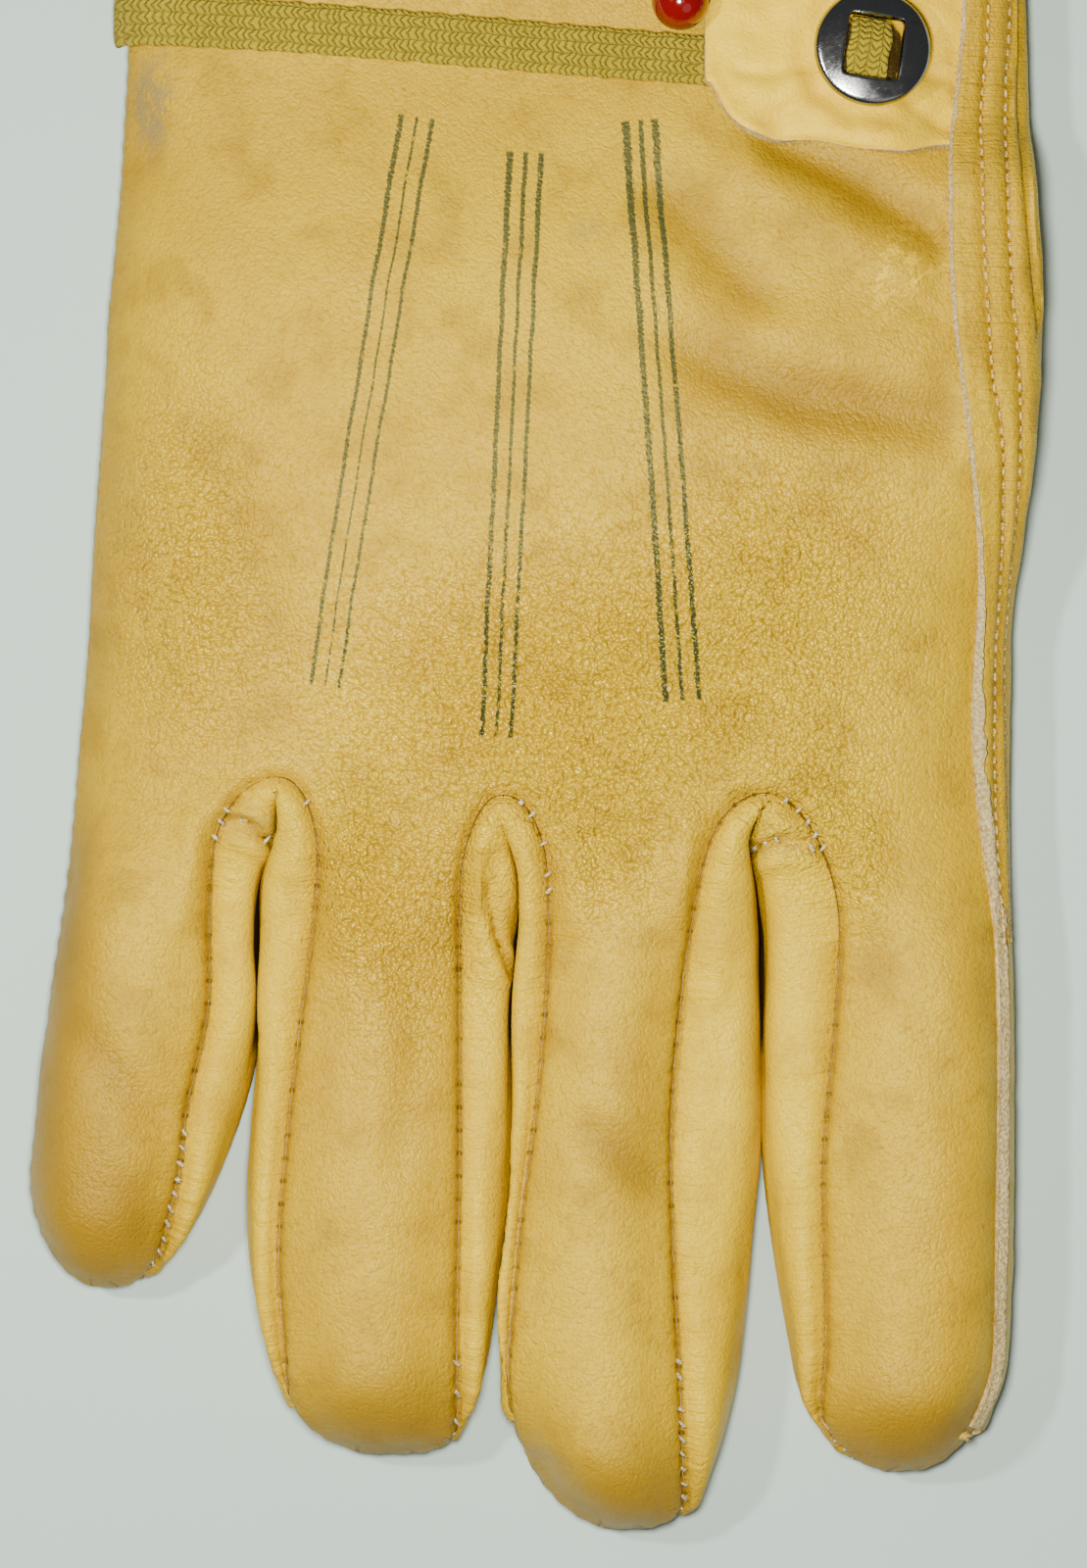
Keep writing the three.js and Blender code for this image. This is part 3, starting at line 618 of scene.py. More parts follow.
def wall_sheet(f, side):
    """The side wall sewn between the back and the palm on one side of a finger."""
    end = f.ends[side]
    sign = 2 * side - 1
    j = finger_row[:end * FINE + 1, 0]
    top = back_point(f, j, float(side))[:, None, :]
    low = palm_edge(f, side, j)[:, None, :]
    t = np.linspace(0, 1, WALL_COLUMNS + 1)[None, :]
    crotch_y = f.crotches[side][1]
    y = mix(top[..., 1], low[..., 1], t)
    parted = mix(CROTCH_EYE, 0.03, rounded(np.maximum(0, crotch_y - y), 6))
    opened = smooth(j / 0.35)[:, None] * (1 - smooth((j - end + 0.35) / 0.35))[:, None]
    straight = mix(top[..., 0], low[..., 0], t)
    out = mix(straight, f.bulges[side](y) - sign * parted, opened)
    wide = np.maximum(0, sign * (out - top[..., 0]))
    middle = np.minimum(WAIST_Z, mix(top[..., 2], low[..., 2], 0.6))
    waist = np.maximum(middle, top[..., 2] - 0.9 * wide - 1)
    waist = mix(mix(top[..., 2], low[..., 2], t), waist, opened)
    turn = np.where(t <= 0.5, t, t - 0.5) * np.pi
    # Near the crotch, neighbours press each other flat.
    pressed_flat = mix(0.5, 1.0, smooth((j / end - 0.45) / 0.2))[:, None]
    shoulder = np.sin(np.minimum(turn, np.pi / 2)) ** pressed_flat
    x = np.where(t <= 0.5, mix(top[..., 0], out, shoulder), mix(low[..., 0], out, np.cos(turn)))
    z = np.where(t <= 0.5, mix(waist, top[..., 2], np.cos(turn)), mix(waist, low[..., 2], np.sin(turn)))
    grid = xyz(x, y, z)
    grid[:, -1] = low[:, 0]
    return Sheet(f"fourchette_{f.name}_{'lr'[side]}", [grid], side == 1)


def thumb_sheet(upper):
    """One half of the flattened thumb, above or below its side seam."""
    run = THUMB_TIP - THUMB_BASE
    long = np.hypot(*run)
    along = run / long
    seam = THUMB_TOP / 2
    q = mix(-THUMB_BASE_RADIUS, long + THUMB_TIP_RADIUS, spread(64))[:, None]
    half = mix(THUMB_BASE_RADIUS, THUMB_TIP_RADIUS, clamp(q / long))
    half = half * rounded(q + THUMB_BASE_RADIUS + BLUNT, THUMB_BASE_RADIUS + BLUNT)
    half = half * rounded(long + THUMB_TIP_RADIUS + BLUNT - q, THUMB_TIP_RADIUS + BLUNT)
    rise = np.minimum(rounded(q + THUMB_BASE_RADIUS, 6), rounded(long + THUMB_TIP_RADIUS - q, 6)) * seam
    u = -np.cos(np.pi * np.arange(33) / 32)[None, :]
    away = np.sqrt(np.clip(1 - np.abs(u) ** 4, 0, None)) * rise
    x = THUMB_BASE[0] + along[0] * q + along[1] * u * half
    y = THUMB_BASE[1] + along[1] * q - along[0] * u * half
    points = xyz(x, y, seam + (away if upper else -away))
    return Sheet("thumb_upper" if upper else "thumb_lower", [points], not upper)


# --- Creases and relief ---
def from_path(x, y, path):
    """Distance in plan from a path of points."""
    best = np.full(np.shape(x), 1e9)
    for (ax, ay), (bx, by) in zip(path, path[1:]):
        t = clamp(((x - ax) * (bx - ax) + (y - ay) * (by - ay)) / ((bx - ax) ** 2 + (by - ay) ** 2))
        best = np.minimum(best, np.hypot(x - mix(ax, bx, t), y - mix(ay, by, t)))
    return best


# Height (below 0 for a trough), width and path of each fold on the back.
FOLDS = [
    (-1.7, 2.7, [(29, 43.5), (36, 40.5), (42, 36.5), (48, 32.5)]),
    (-1.2, 3.4, [(15, 38), (20, 33), (26, 26)]),
    (1.0, 3.0, [(25, 41), (34, 34.5), (44, 29)]),
    (-1.2, 3.6, [(18, 19), (31, 13.5), (47, 11)]),
    (0.35, 3.5, [(28, 22), (40, 20), (49, 19)]),
    (-0.35, 0.6, [(38.4, 31.8), (43, 29.5), (47.6, 26)]),
    (-0.3, 0.5, [(37, 29.2), (41, 27.3), (46, 24.4)]),
    (-0.3, 0.5, [(40.5, 33.6), (44, 31.4), (48, 28.4)]),
    (-0.26, 0.5, [(41, 26.2), (45, 23.9), (48, 22.6)]),
    (-0.4, 3.0, [(-38, 10), (-34, -4), (-30, -16)]),
    (0.4, 4.0, [(-44, 4), (-42, -10), (-41, -22)]),
    (-0.45, 3.0, [(12, -14), (20, -17), (30, -14)]),
    (-0.6, 2.2, [(-16, -50), (-14, -62), (-16, -76)]),
    (-0.7, 2.4, [(6, -72), (12, -77), (16, -79)]),
    (-0.28, 0.5, [(-24.8, -58), (-22.4, -62), (-20.5, -68)]),
    (-0.26, 0.5, [(-23.4, -57), (-21, -62), (-19.2, -66)]),
    (-0.7, 2.6, [(-54, -60), (-49, -66), (-44, -70)]),
    (0.3, 2.6, [(-50, -72), (-46, -76)]),
    (1.1, 1.9, [(-21.8, -37), (-22.4, -50)]),
    (0.9, 1.8, [(5, -38), (5, -48)]),
    (1.0, 1.8, [(17.6, -35), (17.2, -46)]),
    (0.8, 1.9, [(38.8, -37), (39.4, -47)]),
    (0.8, 1.8, [(-39.8, -36), (-41.6, -48)]),
    (-0.4, 2.4, [(40, -52), (46, -60), (50, -72)]),
]

# The same for the palm, where leather only folds inwards, off the surface the glove lies on.
PALM_FOLDS = [
    (-0.9, 1.6, [(-46, -8), (-30, -16), (-8, -20), (14, -20), (34, -14)]),
    (-0.7, 1.3, [(-44, 8), (-26, 2), (-6, -2), (12, 4)]),
    (-0.9, 2.0, [(10, 52), (16, 34), (14, 14), (20, -4)]),
    (-0.6, 1.2, [(-50, 70), (-20, 66), (12, 72), (40, 68)]),
    (-0.5, 1.0, [(-48, 78), (-14, 74), (20, 79)]),
    (-0.5, 1.4, [(-30, 30), (-24, 50), (-26, 64)]),
    *((-0.7, 0.9, [(x - half, y + 0.8), (x, y), (x + half, y + 0.6)]) for x, y, half in (
        (-47, -60, 8), (-49, -76, 8), (-20, -62, 8), (-19, -84, 8), (9, -66, 8), (9, -92, 8), (44, -62, 9),
        (44, -86, 9),
    )),
]


def slow_noise(points, scale, seed):
    return np.array([perlin.noise(Vector((p[0] * scale + seed, p[1] * scale, p[2] * scale))) for p in points])


def folds(points, table):
    """The height of a table's folds at each point."""
    x, y = points[:, 0], points[:, 1]
    return sum(tall * bell(from_path(x, y, path), wide) for tall, wide, path in table)


def relief(points):
    return folds(points, FOLDS) + 0.5 * slow_noise(points, 0.045, 3.0) + 0.22 * slow_noise(points, 0.13, 9.0)


class Seams:
    """Lines of points, which tell how far along them and how far from them other points lie."""

    def __init__(self, points, runs):
        self.runs = runs
        self.tree = KDTree(len(points))
        for n, p in enumerate(points.tolist()):
            self.tree.insert(p, n)
        self.tree.balance()

    def measure(self, sheet):
        found = [self.tree.find(p) for p in sheet.points.tolist()]
        sheet.run = self.runs[[n for _, n, _ in found]]
        sheet.away = np.array([d for _, _, d in found])


def hand_seams():
    """The inseams round the fingers, the fingertips and the little finger's side."""
    points = []
    j = finger_row[:, 0]
    for f in FINGERS:
        for side in (0, 1):
            lap_side = f is INDEX and side == 1
            top = back_point(f, j, float(side), float(lap_side))
            points.append(top[LAP_END * FINE:] if lap_side else top)
            if f.ends[side]:
                points.append(palm_edge(f, side, j[:f.ends[side] * FINE + 1]))
    runs = [running(line) for line in points]
    side_line = hand_point(LITTLE, hand_share[:, 0], 0.0)
    tips = [back_point(f, float(ROWS), spread(ACROSS)) for f in FINGERS]
    points += [side_line, *tips]
    runs += [SIDE_Y - side_line[:, 1], *(tip[:, 0] - tip[0, 0] for tip in tips)]
    return Seams(np.concatenate(points), np.concatenate(runs))


NEEDLE = 2.7  # pitch of the inseams' stitches
STITCH = 1.65  # pitch of the lap's stitches
STITCH_SPAN = (0.16, 0.86)  # the share of its pitch that each of the lap's stitches covers
SEAM_DEPTH, SEAM_WIDTH = 0.75, 0.75
WALL_ROLL = 0.8  # how far a side wall stands up in its roll
THUMB_ROUND = 24  # length along the thumb's seam for each radian round it


def groove(run, away):
    """Leather turns in at an inseam, swells beside it and puckers a little between its stitches."""
    dip = 0.22 * bell(away - 1.9, 1.1) - SEAM_DEPTH * bell(away, SEAM_WIDTH)
    pucker = 0.13 * np.cos(2 * np.pi * run / NEEDLE) * np.exp(-((away - 0.5) / 1.3) ** 2)
    return dip + pucker


back = back_sheet()
palm = palm_sheet(back)
palm.cut(mouth_scale)
walls = [wall_sheet(f, side) for f in FINGERS for side in (0, 1) if f.bulges[side]]
wall_named = {s.name: s for s in walls}
sewn = [back, palm, *walls]
sew(sewn)
seams = hand_seams()
for s in sewn:
    seams.measure(s)
    s.moved = groove(s.run, s.away)
    s.pressed = np.maximum(-s.moved, 0)


def off_lap(points, start, width):
    """1 up to the lap's edge, fading to 0 beyond it."""
    return 1 - smooth((points[:, 0] - lap_edge(points[:, 1]) + start) / width)


back.fold = relief(back.points) * smooth(back.away / 3) * off_lap(back.points, 1.5, 2.5)
back.moved += back.fold
hollow = np.minimum(0, 0.7 * slow_noise(palm.points, 0.05, 71.0) - 0.1) + folds(palm.points, PALM_FOLDS)
below_lap = (1 - smooth((palm.points[:, 2] - 11.5) / 1.5)) * off_lap(palm.points, 1, 3)
palm.fold = hollow * smooth(palm.away / 3) * below_lap
palm.moved += palm.fold

# Grooves and ridges of the side walls, as for the back.
WALL_FOLDS = {
    "fourchette_little_r": [
        (0.5, 0.9, [(-35.5, -38.2), (-33, -39.4), (-31.8, -40.2)]),
        (0.6, 0.9, [(-33.4, -34.6), (-32, -35.4)]),
        (-0.3, 0.6, [(-38.2, -62), (-35, -63)]),
    ],
    "fourchette_ring_l": [
        (0.5, 1.1, [(-27.8, -33.6), (-27.4, -42)]),
        (-0.25, 0.45, [(-31.6, -47.6), (-28.6, -48), (-26.6, -47.2)]),
        (-0.25, 0.5, [(-30.6, -42.6), (-28.2, -44.6)]),
        (-0.25, 0.5, [(-32, -61), (-28.6, -59.5)]),
    ],
    "fourchette_ring_r": [
        (0.6, 1.1, [(-6.4, -37), (-6.8, -44), (-5.2, -54)]),
        (-0.7, 1.0, [(-4.6, -40), (-3.9, -46), (-3.4, -50)]),
        (-0.3, 0.5, [(-7.8, -62), (-5.2, -64)]),
    ],
    "fourchette_middle_l": [
        (0.4, 0.8, [(-0.4, -37), (0.2, -44), (0, -54)]),
        (-0.3, 0.5, [(-1.2, -58), (0, -61)]),
    ],
    "fourchette_middle_r": [
        (0.5, 1.2, [(23, -36), (22.4, -42), (21.6, -56)]),
        (-0.45, 0.4, [(16.8, -89.2), (21, -90.4), (26, -89)]),
        (-0.2, 0.5, [(18.4, -58), (23.5, -59.4)]),
        (-0.2, 0.5, [(19.2, -46), (22, -47.4)]),
    ],
    "fourchette_index_l": [
        (0.7, 1.0, [(27.6, -40.8), (30, -40), (32.6, -41.2)]),
        (0.7, 1.0, [(28.6, -35.8), (30.6, -36)]),
        (-0.3, 0.6, [(28, -101), (31, -103)]),
    ],
}
# Short seams and tight creases across the side walls, where gussets are let into the crotches.
CROSS_SEAMS = {
    "fourchette_little_r": [[(-36.6, -35.4), (-33.7, -35.8), (-32.8, -37.2), (-31.4, -38.1), (-30.3, -37.6)]],
    "fourchette_ring_l": [[(-30, -32.2), (-30.2, -34.4), (-30.4, -37)]],
    "fourchette_ring_r": [[(-5.5, -43.2), (-4.7, -47.6), (-3.3, -53.6)]],
    "fourchette_index_l": [
        [(25.3, -39.8), (26.8, -38.6), (28.8, -37.9), (31.2, -38.2), (33.4, -39.6)],
        [(26.6, -34.4), (25.6, -36.2), (25.4, -38.2)],
    ],
}


def shape_wall(sheet):
    """A side wall stands up in a soft roll between its seam and where it meets its neighbour."""
    grid = sheet.index[0]
    rows, columns = grid.shape
    t = np.linspace(0, 1, columns)
    run = np.linspace(0, 1, rows)[:, None]
    roll = WALL_ROLL * np.sin(np.pi * np.clip(t / 0.38, 0, 1)) ** 2
    fade = smooth(run / 0.03) * (1 - smooth((run - 0.85) / 0.15))
    own = 0.3 * slow_noise(sheet.points, 0.16, 21.0) * smooth(sheet.away / 2)
    upper = smooth((sheet.points[:, 2] - 5) / 3)
    sheet.fold = np.zeros(len(sheet.points))
    sheet.fold[grid] = roll * fade + own[grid] * smooth((0.5 - t) / 0.15)
    sheet.fold += folds(sheet.points, WALL_FOLDS[sheet.name]) * upper
    sheet.moved += sheet.fold
    for path in CROSS_SEAMS.get(sheet.name, []):
        away = from_path(sheet.points[:, 0], sheet.points[:, 1], path) + FAR * (1 - upper)
        sheet.moved -= 0.8 * bell(away, 0.42) - 0.25 * bell(away - 1.1, 0.5)
        sheet.away = np.minimum(sheet.away, away + 0.05)


for s in walls:
    shape_wall(s)


def lap_relief(sheet):
    """Each row of stitches draws the lap down, less so towards the fingertip. Its fold shows as a groove."""
    lap = np.zeros(len(sheet.points), bool)
    for n in (HAND_LAP, FINGER_LAP):
        lap[sheet.index[n].reshape(-1)] = True
    x, y = sheet.points[:, 0], sheet.points[:, 1]
    height = 0.12 * slow_noise(sheet.points, 0.3, 33.0)
    for row in stitch_rows:
        off = np.abs(x - row(y))
        drawn = 0.14 * bell(off - 0.95, 0.5) - 0.5 * bell(off, 0.42)
        height += drawn * smooth((y + 62) / 18)
    height -= 1.0 * bell(x - lap_fold(y), 0.4) * smooth((y - 16) / 10)
    sheet.fold[lap] += height[lap]
    sheet.moved[lap] += height[lap]
    sheet.pressed[lap] += np.maximum(-height[lap], 0)
    outside = np.maximum(stitch_rows[0](y) - x, x - stitch_rows[1](y))  # below 0 between the two rows
    outside = np.where(lap & (y > -50), outside, np.inf)
    nearer = np.abs(outside) < sheet.away
    sheet.away[nearer] = outside[nearer]
    sheet.run[nearer] = y[nearer] * NEEDLE / STITCH


lap_relief(palm)
for s in sewn:
    shell(s)


# --- Materials ---
RICHER = 1.5  # the view transform pales strong colours by about this much


def linear(red, green, blue, richer=RICHER):
    """A colour given as 0 to 255, made richer by as much as the view pales it."""
    rgb = np.array([((c / 255 + 0.055) / 1.055) ** 2.4 for c in (red, green, blue)])
    grey = rgb @ np.array([0.2126, 0.7152, 0.0722])
    return tuple(np.clip(grey + (rgb - grey) * richer, 0.002, 0.95).tolist()) + (1,)


class Value:
    """A number that a shader's nodes work out, with the usual arithmetic."""

    def __init__(self, shader, socket):
        self.shader, self.socket = shader, socket

    def op(self, operation, other=None, **settings):
        return self.shader.value("Math", {0: self, 1: other}, operation=operation, **settings)

    def __add__(self, other):
        return self.op("ADD", other)

    def __sub__(self, other):
        return self.op("SUBTRACT", other)

    def __mul__(self, other):
        return self.op("MULTIPLY", other)


class Shader:
    """A material with one principled shader, and short ways to add nodes to it."""

    def __init__(self, name, **principled):
        self.material = bpy.data.materials.new(name)
        self.material.use_nodes = True
        self.tree = self.material.node_tree
        self.principled = self.tree.nodes["Principled BSDF"]
        for key, value in principled.items():
            self.feed(self.principled.inputs[key.replace("_", " ")], value)

    def feed(self, socket, value):
        if isinstance(value, Value):
            self.tree.links.new(value.socket, socket)
        elif value is not None:
            socket.default_value = value

    def value(self, kind, inputs=(), output=0, **settings):
        """Adds a node and gives one of its outputs."""
        made = self.tree.nodes.new("ShaderNode" + kind)
        for key, setting in settings.items():
            setattr(made, key, setting)
        for key, value in dict(inputs).items():
            self.feed(made.inputs[key], value)
        return Value(self, made.outputs[output])

    def split(self, vector):
        return [self.value("SeparateXYZ", {"Vector": vector}, output) for output in "XYZ"]

    def layer(self, name):
        """The three numbers that each point of the mesh holds under a name."""
        return self.split(self.value("Attribute", (), "Vector", attribute_name=name))

    def place(self, stretch=(1, 1, 1), turn=(0, 0, 0)):
        """Object coordinates in millimetres, turned and then stretched."""
        coordinates = self.value("TexCoord", (), "Object")
        inputs = {"Vector": coordinates, "Scale": [MM / v for v in stretch], "Rotation": turn}
        return self.value("Mapping", inputs, vector_type="TEXTURE")

    def noise(self, vector, scale, detail=2.0, rough=0.5, output="Fac"):
        inputs = {"Vector": vector, "Scale": scale, "Detail": detail, "Roughness": rough}
        return self.value("TexNoise", inputs, output)

    def cells(self, vector, scale):
        return self.value("TexVoronoi", {"Vector": vector, "Scale": scale}, "Distance")

    def ramp(self, value, low, high, start=0.0, end=1.0):
        inputs = {"Value": value, "From Min": low, "From Max": high, "To Min": start, "To Max": end}
        return self.value("MapRange", inputs, interpolation_type="SMOOTHSTEP")

    def coats(self, colour, *coats):
        """Colours laid over a first one, each with its share."""
        for share, coat in coats:
            colour = self.value("Mix", {0: share, 6: colour, 7: coat}, 2, data_type="RGBA")
        return colour

    def finish(self, colour, height, rough=None):
        """Joins up the colour, the relief in millimetres and the roughness."""
        self.feed(self.principled.inputs["Base Color"], colour)
        self.feed(self.principled.inputs["Roughness"], rough)
        bump = self.value("Bump", {"Height": height, "Strength": 1.0, "Distance": MM})
        self.feed(self.principled.inputs["Normal"], bump)
        return self.material


GOLD = linear(179, 152, 60)
GOLD_LIGHT = linear(190, 165, 73)
GOLD_DARK = linear(132, 106, 36)
INK = linear(44, 58, 36, 1.0)

# Each group of printed lines: its middle line's two ends, the spacing at each end, and each line's width.
PRINTED = [
    ((-13.8, 46.8), (-24.5, -20.0), 1.85, 1.65, (0.42, 0.26, 0.5)),
    ((-1.0, 42.5), (-4.4, -26.0), 1.85, 1.7, (0.5, 0.42, 0.58)),
    ((12.4, 46.3), (17.4, -21.7), 1.7, 1.95, (0.62, 0.46, 0.72)),
]


def printed_lines(s):
    """Lines stamped on the back in groups of three, broken where the ink missed the grain."""
    x, y, _ = s.split(s.place())
    breaks = s.noise(s.place((1, 0.55, 1)), 1.5, 3.0, 0.65)
    ragged = s.ramp(s.noise(s.place(), 3.2), 0.25, 0.75, 0.62, 1.3)
    wobble = (s.noise(s.place((0.2, 1, 1)), 0.12, 1.0) - 0.5) * 0.5
    ink = None
    for upper_end, lower_end, upper_gap, lower_gap, widths in PRINTED:
        (tx, ty), (bx, by) = (np.array([upper_end, lower_end]) + SHIFT[:2]).tolist()
        long = math.hypot(bx - tx, by - ty)
        dx, dy = (bx - tx) / long, (by - ty) / long
        px, py = x - tx, y - ty
        run = px * dx + py * dy
        off = py * dx - px * dy + wobble
        gap = run * ((lower_gap - upper_gap) / long) + upper_gap
        inside = s.ramp(run, -0.3, 0.1) * s.ramp(run, long - 0.1, long + 0.3, 1.0, 0.0)
        strong = s.ramp(run, 0, 26, 1.35, 1.0)
        faint = s.ramp(run, 10, long, 0.0, 0.07)
        for n, wide in zip((1.0, 0.0, -1.0), widths):
            beyond = (off - gap * n).op("ABSOLUTE") - strong * (wide / 2) * ragged
            hold = s.ramp(breaks - faint, 0.33 - 0.1 * wide, 0.43 - 0.1 * wide, 0.12, 1.0)
            line = s.ramp(beyond, -0.07, 0.07, 1.0, 0.0) * hold * inside
            ink = ink.op("MAXIMUM", line) if ink else line
    return ink


def leather(name, plain, light, dark, grain=1.0, gloss=0.46, printed=False):
    """Grain leather: mottled and pebbled, with painted shade in its folds, seams and needle holes, and with
    small signs of wear: grime, scuffs and specks.
    """
    s = Shader(name, Specular_IOR_Level=0.7, Specular_Tint=(1.0, 0.84, 0.3, 1))
    place = s.place()
    run, away, bevel = s.layer("seam")
    pebble, smudge, painted_shade = s.layer("marks")
    away = away.op("ABSOLUTE")
    blotch = s.noise(s.place(turn=(0.3, 0.2, 0.5)), 0.13, 3.0, 0.62)
    fine = s.noise(place, 1.1, 2.0, 0.6)
    fibre = s.noise(place, 2.4, 3.0, 0.7)
    speck = s.ramp(s.cells(place, 0.5), 0.07, 0.14, 1.0, 0.0) * s.ramp(s.noise(place, 0.11), 0.55, 0.66)

    # Grain: small pebbles that stand out more over the knuckles.
    warp = {0: place, 1: s.noise(place, 0.7, 1.0, output="Color")}
    cells = s.cells(s.value("VectorMath", warp, operation="ADD"), 2.1)
    pits = s.ramp(cells, 0.42, 0.72) * s.ramp(fine, 0.35, 0.6, 0.35, 1.0)

    # Painted shade in the needle holes along the seams, then grime, scuffs, and the raw leather of a skived
    # edge.
    step = (run.op("DIVIDE", NEEDLE).op("FRACT") - 0.5) * NEEDLE
    hole = s.ramp((step * step + away * away).op("SQRT"), 0.16, 0.4, 1.0, 0.0)
    shown = s.ramp(s.noise(place, 0.16), 0.42, 0.58, 0.1, 0.65)
    streaks = s.noise(s.place((1, 0.4, 1), (0, 0, 0.5)), 0.9, 3.0, 0.7)
    grime = smudge.op("MULTIPLY", s.ramp(streaks, 0.36, 0.54), use_clamp=True)
    scratches = s.noise(s.place((1, 0.35, 1), (0, 0, -0.87)), 0.8, 3.0, 0.7)
    scuff = smudge.op("MULTIPLY", s.ramp(scratches, 0.53, 0.58, 0.0, -1.0), use_clamp=True)
    raw = s.ramp(bevel + s.noise(place, 0.8, 3.0) * 0.7, 1.2, 1.38, 1.0, 0.0)
    colour = s.coats(
        plain,
        (s.ramp(s.noise(place, 0.035, 3.0, 0.6), 0.36, 0.68), light),
        (s.ramp(blotch, 0.47, 0.72, 0.0, 0.45), dark),
        (s.ramp(fine, 0.42, 0.75, 0.0, 0.18), dark),
        (speck * 0.45, linear(130, 92, 40)),
        (pits * s.ramp(pebble, 0.0, 1.0, 0.15 * grain, 0.26 * grain), dark),
        # Painted shade: darker in folds, at the fingertips and along the glove's left edge, near black where
        # side walls meet and in the slide's hole.
        (s.ramp(painted_shade, 0.0, 0.7, 0.0, 0.85), dark),
        (s.ramp(painted_shade, 0.7, 1.0), linear(44, 32, 16)),
        # Painted shade: darker beside each seam, and darkest along its groove.
        (s.ramp(away, 0.1, 1.3, 0.2, 0.0), linear(160, 122, 52)),
        (s.ramp(away, 0.03, 0.24, 0.5, 0.0), linear(104, 76, 32)),
        # Painted shade in the needle holes.
        (hole * shown, linear(58, 40, 18)),
        (grime * 0.7, linear(124, 110, 80, 1.0)),
        (scuff * 0.55, linear(238, 212, 132)),
        *([(printed_lines(s) * 0.93, INK)] if printed else []),
        (raw, s.coats(linear(172, 148, 98, 1.1), (s.ramp(fibre, 0.35, 0.68), linear(224, 206, 162, 1.1)))),
    )

    pebbles = cells * cells * s.ramp(pebble, 0.0, 1.0, -0.09 * grain, -0.36 * grain)
    lines = s.noise(s.place((1.4, 0.9, 1), (0, 0, 0.5)), 2.6, 2.0, 0.6)
    lines = lines * s.ramp(pebble, 0.0, 0.7, 0.10 * grain, 0.03 * grain)
    pores = s.noise(place, 5.0, 1.0) * (0.035 * grain)
    across = s.value("CombineXYZ", {"X": run * 1.7, "Y": away * 0.3})
    wrinkle = s.noise(across, 1.0, 2.0, 0.55) * s.ramp(away, 0.8, 6.0, 0.32, 0.0)
    rough = s.ramp(blotch, 0.3, 0.7, gloss - 0.04, gloss + 0.1) - pebble * 0.27
    return s.finish(colour, pebbles + lines + pores + wrinkle + fibre * raw * 0.5, rough + grime * 0.2)


def cut_leather():
    """The pale fibres of a raw cut edge."""
    s = Shader("cut_leather", Roughness=0.9)
    fibre = s.noise(s.place((1, 0.4, 1)), 2.6, 5.0, 0.7)
    colour = s.coats(
        linear(168, 146, 104),
        (s.ramp(fibre, 0.35, 0.7), linear(226, 212, 178)),
        (s.ramp(s.noise(s.place(), 0.4, 3.0), 0.5, 0.7, 0.0, 0.5), linear(150, 124, 80)),
    )
    return s.finish(colour, fibre * 0.35)


def webbing():
    """Olive cotton tape woven in small chevrons, with a fuzz of loose fibre."""
    s = Shader("cotton_tape", Roughness=0.95)
    along, over, _ = s.layer("weave")
    slack_x, slack_y, _ = s.split(s.noise(s.place(), 0.55, 3.0, output="Color"))
    zig = (over + slack_y * 0.9).op("PINGPONG", 0.75)
    slant = along + slack_x * 1.3 + zig * 0.7
    rib = (slant * (math.pi / 0.8)).op("SINE").op("ABSOLUTE")
    yarn = rib.op("POWER", 0.6) * s.ramp(s.ramp(zig, 0.0, 0.22), 0.0, 1.0, 0.45, 1.0)
    fuzz = s.noise(s.place(), 2.2, 3.0, 0.75)
    colour = s.coats(
        linear(118, 106, 52),
        (s.ramp(yarn, 0.1, 0.95), linear(158, 144, 76)),
        (s.ramp(fuzz, 0.4, 0.7, 0.0, 0.5), linear(178, 166, 104)),
        (s.ramp(s.noise(s.place(), 0.12, 3.0), 0.45, 0.7, 0.0, 0.4), linear(138, 124, 68)),
    )
    return s.finish(colour, yarn * 0.34 + fuzz * 0.22)


def thread_material(name, colour, dark):
    s = Shader(name, Roughness=0.8)
    twist = s.noise(s.place(), 4.0)
    return s.finish(s.coats(dark, (s.ramp(twist, 0.35, 0.65), colour)), twist * 0.08)


def steel():
    """Plated steel, scratched and hazy where the tape has rubbed it."""
    s = Shader("plated_steel", Metallic=1.0)
    scratches = s.noise(s.place((0.5, 7.0, 1), (0, 0, 0.35)), 2.4, 4.0, 0.7)
    haze = s.noise(s.place(), 0.55, 4.0, 0.65)
    colour = s.coats(
        linear(168, 170, 172, 1.0),
        (s.ramp(haze, 0.3, 0.8), linear(138, 137, 132, 1.0)),
        (s.ramp(s.cells(s.place(), 1.3), 0.04, 0.1, 0.6, 0.0), linear(96, 84, 66)),
    )
    rough = s.ramp(haze, 0.3, 0.8, 0.13, 0.26) + s.ramp(scratches, 0.58, 0.72, 0.0, 0.2)
    return s.finish(colour, scratches * 0.008, rough)


def red_bead():
    s = Shader("red_bead", Coat_Weight=0.6, Coat_Roughness=0.05)
    dust = s.noise(s.place(), 1.4, 4.0, 0.7)
    colour = s.coats(linear(116, 6, 5, 1.0), (s.ramp(dust, 0.62, 0.78, 0.0, 0.5), linear(168, 66, 48, 1.0)))
    return s.finish(colour, s.noise(s.place(), 0.5) * 0.05, s.ramp(dust, 0.5, 0.8, 0.1, 0.35))


main_leather = leather("grain_leather", GOLD, GOLD_LIGHT, GOLD_DARK)
back_leather = leather("back_leather", GOLD, GOLD_LIGHT, GOLD_DARK, printed=True)
side_leather = leather("side_leather", linear(198, 173, 80), linear(208, 184, 95), linear(164, 136, 56), 0.9)
tab_leather = leather(
    "pale_leather", linear(227, 197, 92), linear(234, 207, 106), linear(202, 166, 68), 0.7, 0.52,
)
cut_edge = cut_leather()
cotton = webbing()
lap_thread = thread_material("lap_thread", linear(222, 204, 160), linear(150, 118, 70))
white_thread = thread_material("white_thread", linear(224, 212, 180, 1.0), linear(150, 134, 100, 1.0))
fibre_thread = thread_material("leather_fibre", linear(214, 194, 148), linear(160, 132, 82))
